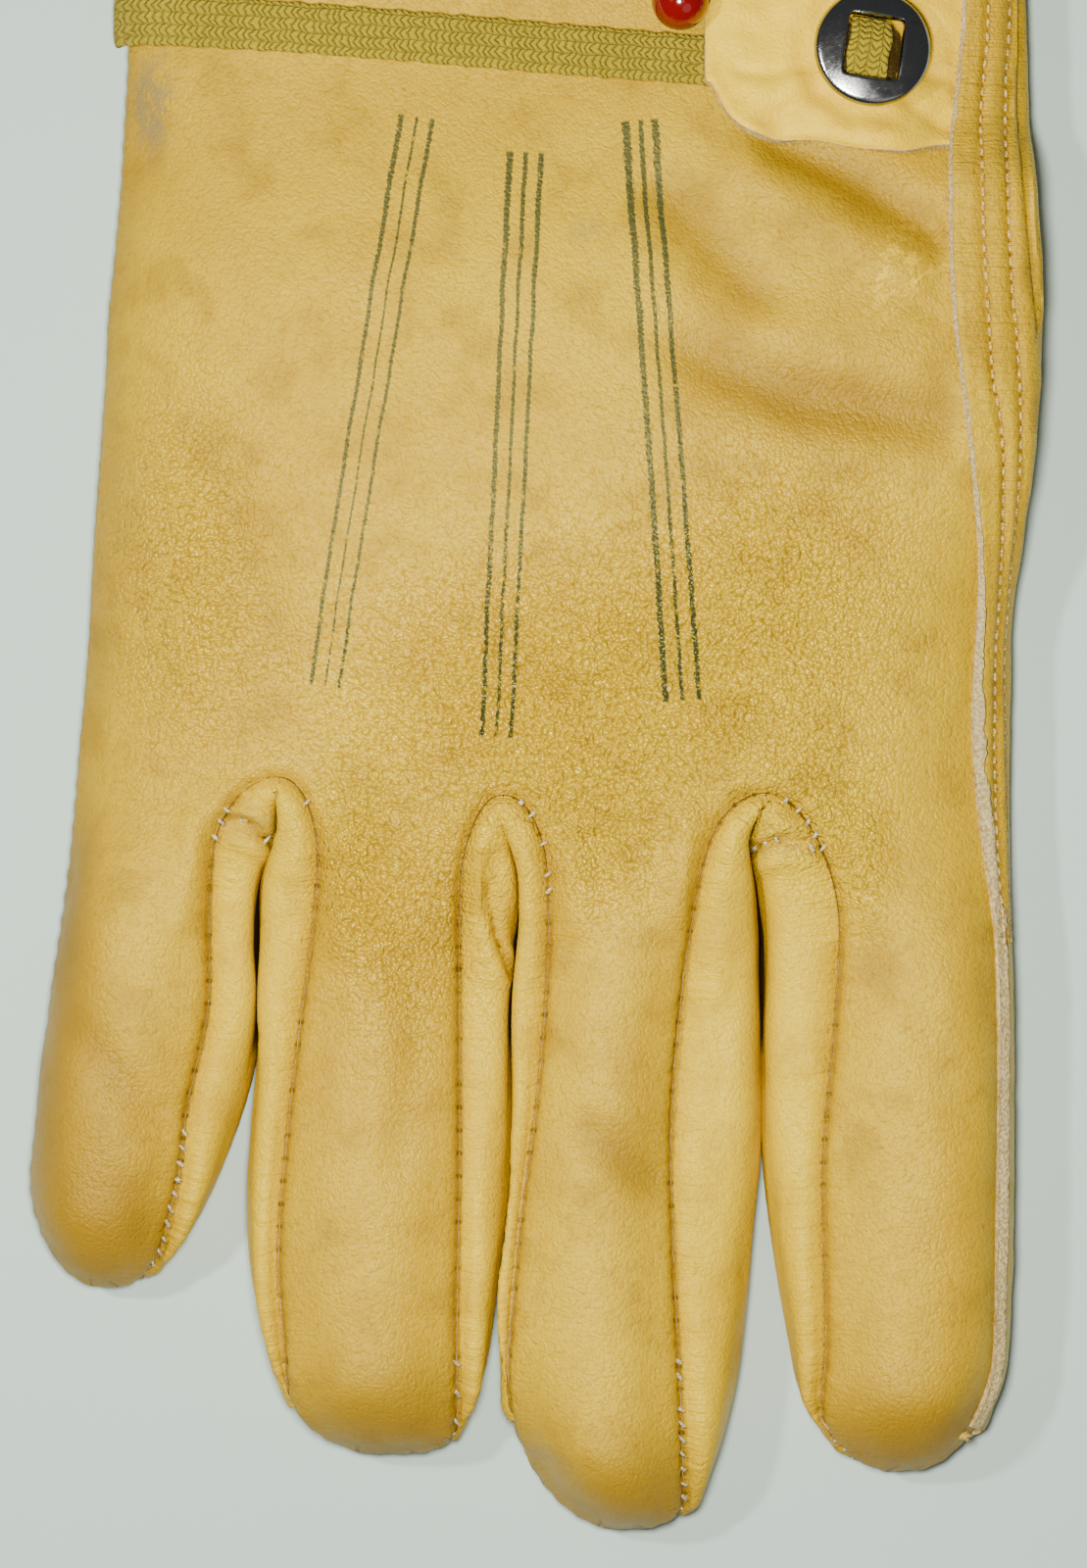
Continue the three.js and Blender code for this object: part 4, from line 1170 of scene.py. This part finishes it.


# --- Grain, grime, scuffs and painted shade ---
# Patches, each with its strength, centre and size, and a power where its edge is sharper than a bell's.
PEBBLED = [
    (0.9, (6, -22), (30, 17)), (0.7, (-42, -6), (10, 22)), (0.6, (-14, -50), (10, 14)),
    (0.5, (30, -6), (16, 16)), (0.7, (8, -36), (6, 10)), (0.6, (33, -36), (6, 8)), (0.9, (-21, -41), (4, 9)),
    (0.6, (38.5, -42), (3, 8)),
]
# Grime above 0, and pale scuffs below 0.
SMUDGED = [
    (1.3, (-45.2, 49), (2.4, 5.5), 3), (0.7, (6, 33.5), (1.6, 1.6)), (-1, (43, 28), (5, 5)),
    (-1, (38.2, -106), (0.9, 1.1), 3), (0.5, (29.5, -38.4), (3, 1.6)), (0.6, (-33, -36), (2.4, 1.8)),
]
# Painted shade: darker over troughs of the back's folds, over each fingertip and down the little finger's
# outer side.
SHADE_PATCHES = [
    (0.3, (33, 14), (16, 9)), (0.25, (32, 38), (12, 8)), (0.25, (12, -74), (8, 10)),
    (0.4, (-54, -66), (9, 26), 4), *((0.65, (f.tip_x, f.tip_y - 2), (15, 15), 3) for f in FINGERS),
]


def patches(points, table):
    """The strength of a table's patches at each point."""
    total = np.zeros(len(points))
    for strong, centre, size, *power in table:
        away = np.sum(((points[:, :2] - centre) / size) ** 2, 1)
        total += strong * np.exp(-away ** ((power or [2])[0] / 2))
    return total


def marks(s):
    """How pebbled and how dirty the leather is at each point, and how much shade is painted on it."""
    x, y, z = s.points.T
    # Painted shade in the troughs of the folds, over the listed patches and along the glove's left edge.
    painted_shade = 0.34 * np.clip(-s.fold, 0, 1) + patches(s.points, SHADE_PATCHES)
    painted_shade += 0.35 * (1 - smooth((x - outline_left(y)) / 6))
    painted_shade = np.minimum(painted_shade, 0.7)
    if s in walls:  # painted shade where they meet, down to the ends of the cross seams
        painted_shade += smooth((8.3 - z) / 1.3) * smooth((y + 72) / 12)
    if s.name == "tab":  # painted shade in the slide's hole
        painted_shade += smooth((5.2 - np.hypot(x - SLIDE_X, y - SLIDE_Y)) / 0.8)
    smudge = np.clip(patches(s.points, SMUDGED), -1, 1)
    return np.stack([np.clip(patches(s.points, PEBBLED), 0, 1), smudge, np.clip(painted_shade, 0, 1)], 1)


def leather_object(s, material, slot):
    slots = np.ones(len(s.faces), np.int32)
    slots[:len(s.quads)] = s.raw
    return make_object(
        s.name, np.concatenate([s.outer, s.inner]), s.faces.tolist(), [material, cut_edge], slot, slots, 55,
        seam=np.tile(np.stack([s.run, s.away, s.bevel], 1), (2, 1)), marks=np.tile(marks(s), (2, 1)),
    )


back_object = leather_object(back, back_leather, "leather")
palm_object = leather_object(palm, main_leather, "leather")
wall_objects = [leather_object(s, side_leather, "side_leather") for s in walls]

thumbs = [thumb_sheet(True), thumb_sheet(False)]
thumbs[0].cut(mouth_scale)
sew(thumbs)
thumb_rim = np.array([thumbs[1].points[n] for n in sorted(set(thumbs[1].rim()[0].tolist()))])
thumb_off = thumb_rim[:, :2] - (THUMB_BASE + THUMB_TIP) / 2
thumb_seam = Seams(thumb_rim, np.arctan2(thumb_off[:, 1], thumb_off[:, 0]) * THUMB_ROUND)
for s in thumbs:
    thumb_seam.measure(s)
    s.fold = 0.35 * slow_noise(s.points, 0.12, 51.0) * smooth(s.away / 3)
    if s is thumbs[1]:
        s.fold = np.minimum(s.fold, 0)
    s.moved = groove(s.run, s.away) * 0.8
    s.pressed = np.maximum(-s.moved, 0)
    s.moved += s.fold
    shell(s)
thumb_objects = [leather_object(s, main_leather, "leather") for s in thumbs]


# --- Things that lie on the back ---
def tape_y(x):
    return 53.6 - 0.086 * (x - 16)


def lifted(x, y, lift):
    """Points lifted off the back of the hand along its own normal."""
    x, y, lift = np.broadcast_arrays(x, y, lift)
    step = 0.05
    slope_x = hand_z(x - step, y) - hand_z(x + step, y)
    slope_y = hand_z(x, y - step) - hand_z(x, y + step)
    on_hand = xyz(x, y, hand_z(x, y))
    own = relief(on_hand.reshape(-1, 3)).reshape(x.shape) * smooth((x - outline_left(y)) / 3)
    return on_hand + unit(xyz(slope_x, slope_y, 2 * step)) * (lift + own)[..., None]

def squared(wave, power):
    """A sine or cosine wave drawn out towards a square one."""
    return np.sign(wave) * np.abs(wave) ** power


def strap(name, run, centre_y):
    """A woven strap along a line on the back, with a flattened oval section."""
    sides = 28
    angle = all_round(sides)
    over, up = squared(np.cos(angle), 0.55), squared(np.sin(angle), 0.7)
    wave = 0.14 * np.sin(run * 2.1) * np.sin(run * 0.53)
    x = np.repeat(run[:, None], sides, 1)
    off = over * (TAPE_WIDTH / 2 + wave)[:, None]
    points = lifted(x, centre_y[:, None] + off, TAPE_TOP + TAPE_THICK / 2 * (up - 1))
    weave = xyz(x, off + 3, 0)
    make_object(name, points, ring_faces(len(run), sides), [cotton], "cotton", weave=weave)


tape_start = float(outline_left(tape_y(-48.0)))
tape_run = np.concatenate([
    tape_start + 4.9 * (np.arange(24) / 24) ** 3, np.linspace(tape_start + 4.9, 33, 150),
]) + 0.02
strap("tape", tape_run, tape_y(tape_run))
strap("tape_tail", np.linspace(20.6, 33.1, 40), np.full(40, BEAD_Y))


def tab_lift(x):
    return LEATHER + mix(TAPE_TOP + GAP + 0.15, CLEAR, smooth((x - 40) / 8))

TAB_FOLDS = [
    (-0.45, 0.9, [(33, 49.5), (29, 47), (26.5, 46)]),
    (-0.4, 0.8, [(31.4, 52.5), (27, 51.5), (24, 52)]),
    (0.4, 1.2, [(30.5, 50.6), (26, 49)]),
    (-0.4, 0.9, [(44, 48.6), (47.5, 46), (51, 45)]),
    (-0.4, 0.9, [(46.6, 52), (50, 50.6)]),
    (0.4, 1.3, [(36, 45), (42, 44.4)]),
    (-0.3, 0.8, [(37, 46.6), (38, 43.4)]),
]


def tab_sheet():
    """The tongue of pale leather: its outline is cut by hand, and its edge is raw."""
    x = mix(TAB_LEFT, TAB_RIGHT, spread(70))[:, None]
    c = (-np.cos(np.pi * np.arange(61) / 60))[None, :]
    half = TAB_HALF * rounded(x - TAB_LEFT + BLUNT, TAB_END)
    low = np.maximum(TAB_CENTRE - tab_low(x), 0.1)
    low = np.where(x < 22.9, np.minimum(low, half + 0.4), low)
    y = TAB_CENTRE + np.where(c < 0, c * low, c * half)
    sheet = Sheet("tab", [lifted(x + 0 * c, y, tab_lift(x) + 0 * c)], True)
    sew([sheet])
    points = sheet.points
    rim = points[sheet.rim()[0]]
    away = np.min(np.linalg.norm(points[:, None, :] - rim[None, :, :], axis=2), 1)
    seat = np.hypot(points[:, 0] - SLIDE_X, points[:, 1] - SLIDE_Y) - SLIDE_RADIUS
    sheet.run, sheet.away = np.zeros(len(points)), np.full(len(points), FAR)
    sheet.fold = 0.6 * slow_noise(points, 0.12, 61.0) + 0.3 * slow_noise(points, 0.4, 65.0)
    sheet.fold = sheet.fold * smooth(away / 3) + folds(points, TAB_FOLDS) * smooth(away / 2)
    sheet.fold -= 0.3 * bell(seat - 0.6, 1.1) - 0.35 * bell(seat - 3, 1.6)
    sheet.moved = sheet.fold - 0.35 * bell(away, 0.35)
    shell(sheet, 0.9, 0.0)
    sheet.raw = np.min(away[sheet.quads], 1) < 0.05
    return sheet


tab = tab_sheet()
tab_object = leather_object(tab, tab_leather, "pale_leather")

seat = lifted(SLIDE_X, SLIDE_Y, tab_lift(SLIDE_X) + GAP + 0.35)
upright = unit(seat - lifted(SLIDE_X, SLIDE_Y, 0.0))
lean = Vector((0, 0, 1)).rotation_difference(Vector(upright)).to_matrix()


def seated(points):
    """Points of the slide, turned and set down on the tab."""
    points = points.copy()
    along, across = math.cos(SLIDE_TURN), math.sin(SLIDE_TURN)
    points[..., :2] = points[..., :2] @ np.array([[along, across], [-across, along]])
    return points @ np.array(lean).T + seat


def slide_object():
    """A domed disc pressed from sheet steel, with a square hole for the tape."""
    sides = 96
    angle = all_round(sides)
    c, s = np.cos(angle), np.sin(angle)
    wide, long = (v / 2 for v in SLIDE_HOLE)
    squareness = 14
    hole = (np.abs(c / wide) ** squareness + np.abs(s / long) ** squareness) ** (-1 / squareness)
    shares = np.array([0, 0.03, 0.08, 0.16, 0.3, 0.45, 0.6, 0.74, 0.85, 0.93, 0.98, 1.0])[:, None]
    r = mix(hole, SLIDE_RADIUS, shares)
    dome = SLIDE_RIM + 0.1 + (SLIDE_CROWN - SLIDE_RIM - 0.1) * (1 - (r / SLIDE_RADIUS) ** 2.2)
    dome = dome - 0.25 * (1 - rounded(shares, 0.08)) - 0.7 * (1 - rounded(1 - shares, 0.16))
    under = mix(hole, SLIDE_RADIUS - 0.5, np.array([1.0, 0.5, 0.0])[:, None])
    r = np.concatenate([r, np.full((1, sides), SLIDE_RADIUS), under])
    z = np.concatenate([dome, np.full((1, sides), 0.25), np.full((3, sides), 0.15)])
    faces = ring_faces(len(r), sides, closed=True, flip=True)
    points = seated(xyz(r * c, r * s, z))
    make_object("slide", points, faces, [steel()], "steel", smooth_angle=48)


def fold_object():
    """The fold of tape that shows in the slide's hole, arched along the hole."""
    rows, sides = 44, 32
    wide, long = SLIDE_HOLE[0] - 1.6, SLIDE_HOLE[1] - 2 * GAP
    u = np.linspace(-1, 1, rows)[:, None]
    v = all_round(sides)
    arch = 1.45 * (1 - 0.94 * np.abs(u) ** 2.4)
    x = squared(np.cos(v), 0.5) * wide / 2 * (1 - 0.06 * np.abs(u) ** 2) - 0.45 + 0.12 * np.sin(u * 5)
    y = u * long / 2 + 0 * v
    points = seated(xyz(x, y, 0.4 + arch * (0.5 + 0.5 * squared(np.sin(v), 0.6))))
    faces = ring_faces(rows, sides, flip=True)
    make_object("tape_fold", points, faces, [cotton], "cotton", weave=xyz(y, x + 3, 0))


def bead_object():
    """A pressed bead, not quite round, with a bore for the tape's end."""
    sides, rows = 64, 40
    bore = 0.9
    lift = np.pi * (0.09 + 0.82 * np.linspace(0, 1, rows)[:, None])
    angle = all_round(sides)
    r = BEAD_RADIUS * np.sin(lift) * (1 + 0.02 * np.cos(2 * angle))
    across = -BEAD_RADIUS * np.cos(lift) * 0.98
    across = np.concatenate([across, across[::-1][[0, rows // 2, -1]]])
    r = np.concatenate([r, np.full((3, sides), bore)])
    centre = np.array([BEAD_X, BEAD_Y, float(hand_z(BEAD_X, BEAD_Y)) + CLEAR + BEAD_RADIUS])
    points = xyz(across, r * np.cos(angle), r * np.sin(angle)) + centre
    make_object("bead", points, ring_faces(rows + 3, sides, closed=True), [red_bead()], "bead")


slide_object()
fold_object()
bead_object()


# --- Stitches ---
class Threads:
    """Short lengths of thread, gathered into one piece."""

    def __init__(self):
        self.points, self.faces = [], []

    def add(self, path, radius, sides=6):
        path = np.asarray(path, float)
        along = unit(np.gradient(path, axis=0))
        side = unit(np.cross(along, np.array([0.0, 0.0, 1.0]) + 1e-3))
        up = np.cross(side, along)
        angle = all_round(sides)[None, :, None]
        taper = np.full((len(path), 1, 1), radius)
        taper[[0, -1]] *= 0.6
        rings = path[:, None] + (np.cos(angle) * side[:, None] + np.sin(angle) * up[:, None]) * taper
        self.faces += ring_faces(len(path), sides, flip=True, start=sum(len(p) for p in self.points))
        self.points.append(rings.reshape(-1, 3))

    def object(self, name, material):
        points = np.concatenate(self.points)
        make_object(name, points, self.faces, [material], "cotton", smooth_angle=180, replaces=False)


def crossing(grid, value):
    """Where a value passes 0 along each row of a grid of points."""
    line = []
    for row, v in zip(grid, value):
        change = np.nonzero(np.diff(np.sign(v)))[0]
        if len(change):
            n = change[0]
            line.append(mix(row[n], row[n + 1], v[n] / (v[n] - v[n + 1])))
    return line


rng = np.random.default_rng(7)
lap_stitches = Threads()
for row in stitch_rows:
    line = []
    for n in (HAND_LAP, FINGER_LAP):
        points = palm.points[palm.index[n]]
        keep = points[:, 0, 1] > -52
        line += crossing(palm.outer[palm.index[n]][keep], (points[..., 0] - row(points[..., 1]))[keep])
    line = np.array(line)
    runs = running(line)
    dots = along_line(line, runs, np.arange(0, runs[-1], STITCH))
    for a, b in zip(dots, dots[1:]):
        start, end = (mix(a, b, share) for share in STITCH_SPAN)
        sunk, raised = np.array([0, 0, -0.16]), np.array([0, 0, rng.uniform(0.02, 0.1)])
        inner = [mix(start, end, share) + raised for share in (0.25, 0.75)]
        lap_stitches.add([start + sunk, *inner, end + sunk], 0.22)
lap_stitches.object("lap_stitches", lap_thread)


def seam_sides(f, side, reach):
    """Lines a little to either side of the seam between a finger's back and its side wall, and the seam."""
    wall = wall_named[f"fourchette_{f.name}_{'lr'[side]}"]
    on_wall = wall.outer[wall.index[0]]
    on_back = back.outer[back.index[2 * FINGERS.index(f) + 1]][:len(on_wall)]
    on_back = on_back[:, ::-1] if side else on_back
    lines = [
        np.array([along_line(row, runs, reach) for row, runs in zip(grid, running(grid))])
        for grid in (on_back, on_wall)
    ]
    return *lines, mix(on_back[:, 0], on_wall[:, 0], 0.5)


seam_stitches = Threads()
# Where white overcast stitches show: finger, side, and from and to along the seam in Y.
OVERCAST = [
    (LITTLE, 1, -72, -91), (RING, 1, -99, -109), (MIDDLE, 1, -99, -119), (INDEX, 0, -107, -112.5),
    (MIDDLE, 0, -33.2, -45), (INDEX, 0, -33.1, -41), (LITTLE, 1, -34, -38.5), (RING, 0, -33, -34.6),
]
OVERCAST_PITCH = 1.9


def tuft(threads, start, end, rise=0.16, strands=3):
    """A worn stitch: strands of thread that lie together over an edge and have frayed apart a little."""
    for _ in range(strands):
        a = start + rng.uniform(-0.14, 0.14, 3) * [1, 1, 0]
        b = end + rng.uniform(-0.14, 0.14, 3) * [1, 1, 0]
        mid = mix(a, b, rng.uniform(0.4, 0.6)) + [0, 0, rise + rng.uniform(0, 0.08)]
        sunk, raised = np.array([0, 0, -0.1]), np.array([0, 0, 0.06])
        path = [a + sunk, mix(a, mid, 0.6) + raised, mid, mix(b, mid, 0.6) + raised, b + sunk]
        threads.add(path, rng.uniform(0.13, 0.19), 5)


def overcast(lines):
    """Tufts that slant over an edge, some of them worn away."""
    from_line, to_line, middle = lines
    runs = running(middle)
    for here in np.arange(0.3, runs[-1], OVERCAST_PITCH):
        if rng.random() < 0.15:
            continue
        ends = []
        for line, slip in ((from_line, -0.2), (middle, 0.1), (to_line, 0.35)):
            at = here + slip * OVERCAST_PITCH + rng.uniform(-0.2, 0.2)
            ends.append(along_line(line, runs, at))
        tuft(seam_stitches, ends[0], mix(ends[1], ends[2], 0.6))


for f, side, top, bottom in OVERCAST:
    lines = seam_sides(f, side, 0.75)
    keep = (lines[2][:, 1] < top) & (lines[2][:, 1] > bottom)
    overcast([line[keep] for line in lines])


def on_sheet(sheet, place):
    """The highest point of a sheet's outer face near a place in plan."""
    off = np.hypot(sheet.outer[:, 0] - place[0], sheet.outer[:, 1] - place[1])
    near = np.argsort(off)[:6]
    return np.array([*place, sheet.outer[near, 2].max()])


for wall, shares in ((wall_named["fourchette_little_r"], (0.2, 0.75, 0.95)),
                     (wall_named["fourchette_index_l"], (0.1, 0.3, 0.45, 0.9))):
    path = np.array(CROSS_SEAMS[wall.name][0])
    for share in shares:
        centre = along_line(path, np.arange(len(path)), share * (len(path) - 1))
        across = 0.6 * (rng.uniform(-0.6, 0.6, 2) + [0.1, 0.35])
        tuft(seam_stitches, on_sheet(wall, centre - across), on_sheet(wall, centre + across), 0.2, 4)
seam_stitches.object("seam_stitches", white_thread)

# Fibres that stand off the lap's raw edge and the tab's.
fibres = Threads()
lap_rim = np.concatenate([palm.outer[palm.index[n]][:, -1] for n in (HAND_LAP, FINGER_LAP)])
tab_rim = tab.outer[tab.index[0][:, 0]]
for edge, count, lean_x, lean_y in ((lap_rim, 150, -1.0, 0.1), (tab_rim, 40, -0.2, -1.0)):
    for _ in range(count):
        root = edge[int(rng.random() ** 0.7 * (len(edge) - 1))]
        tip = root + np.array([lean_x, lean_y, 0.1]) * rng.uniform(0.25, 0.8)
        tip = tip + rng.uniform(-0.35, 0.35, 3) * [1, 1, 0.3]
        bend = mix(root, tip, 0.5) + rng.uniform(-0.12, 0.12, 3)
        fibres.add([root, bend, tip], 0.045, 4)
# Where the lap ends by the index fingertip, its seam finishes in a small knot.
knot_at = on_sheet(back, (50.7, -108.6))
for _ in range(7):
    turn = rng.uniform(0, 2 * np.pi)
    reach = np.array([math.cos(turn), math.sin(turn), 0.1]) * rng.uniform(0.5, 1.2)
    tuft(fibres, knot_at - reach, knot_at + reach, 0.3, 2)
fibres.object("raw_fibres", fibre_thread)


# --- Cloth sizes ---
def cut_of(sheet, wide, long):
    """Works out the smaller of a piece's own area and the area of the rectangle it came from, and keeps
    neither.
    """
    min(sheet.area() * MM * MM, wide * long)


cut_of(back, 0.140, 0.250)
cut_of(palm, 0.150, 0.250)
for made, sheet in zip(wall_objects, walls):
    cut_of(sheet, 0.024, 0.095)
for made, sheet in zip(thumb_objects, thumbs):
    cut_of(sheet, 0.036, 0.072)
cut_of(tab, 0.027, 0.0345)


# --- Floor, light and camera ---
def floor():
    s = Shader("floor", Roughness=0.9)
    grey = s.coats(linear(186, 206, 198, 1.0), (s.noise(s.place(), 0.02, 3.0), linear(194, 211, 204, 1.0)))
    s.feed(s.principled.inputs["Base Color"], grey)
    mesh = bpy.data.meshes.new("floor")
    mesh.from_pydata([(-3, -3, 0), (3, -3, 0), (3, 3, 0), (-3, 3, 0)], [], [(0, 1, 2, 3)])
    mesh.materials.append(s.material)
    made = linked("floor", mesh)
    made.location.z = -0.0002


def lamp(name, place, aim, size, power, colour=(1, 1, 1)):
    light = bpy.data.lights.new(name, "AREA")
    light.shape = "DISK"
    light.size = size
    light.energy = power
    light.color = colour
    made = linked(name, light)
    made.location = place
    made.rotation_euler = (Vector(aim) - Vector(place)).to_track_quat("-Z", "Y").to_euler()


def camera():
    """Looks straight down, and frames the part of the glove from the tape to the fingertips."""
    data = bpy.data.cameras.new("camera")
    data.sensor_fit = "VERTICAL"
    data.sensor_height = 36
    view_x, view_y, view_high = 1.0 * MM, -31.5 * MM, 184 * MM
    away, subject_z = 0.62, 13 * MM
    data.lens = data.sensor_height * away / view_high
    made = linked("camera", data)
    made.location = (view_x, view_y, subject_z + away)
    bpy.context.scene.camera = made


def world():
    made = bpy.data.worlds.new("world")
    made.use_nodes = True
    background = made.node_tree.nodes["Background"]
    background.inputs["Color"].default_value = (0.95, 0.97, 1.0, 1)
    background.inputs["Strength"].default_value = 0.08
    bpy.context.scene.world = made


# Each lamp: its place, where it aims and its size in metres, then its power and its colour.
WARM = (1.0, 0.97, 0.9)
floor()
lamp("key", (-0.008, -0.04, 0.38), (-0.005, -0.02, 0.01), 0.06, 2.35, WARM)
lamp("side", (-0.28, 0.06, 0.42), (0, -0.03, 0.01), 0.04, 1.7, WARM)
lamp("fill", (0.35, -0.45, 0.6), (0, -0.03, 0.01), 0.5, 0.3)
world()
camera()
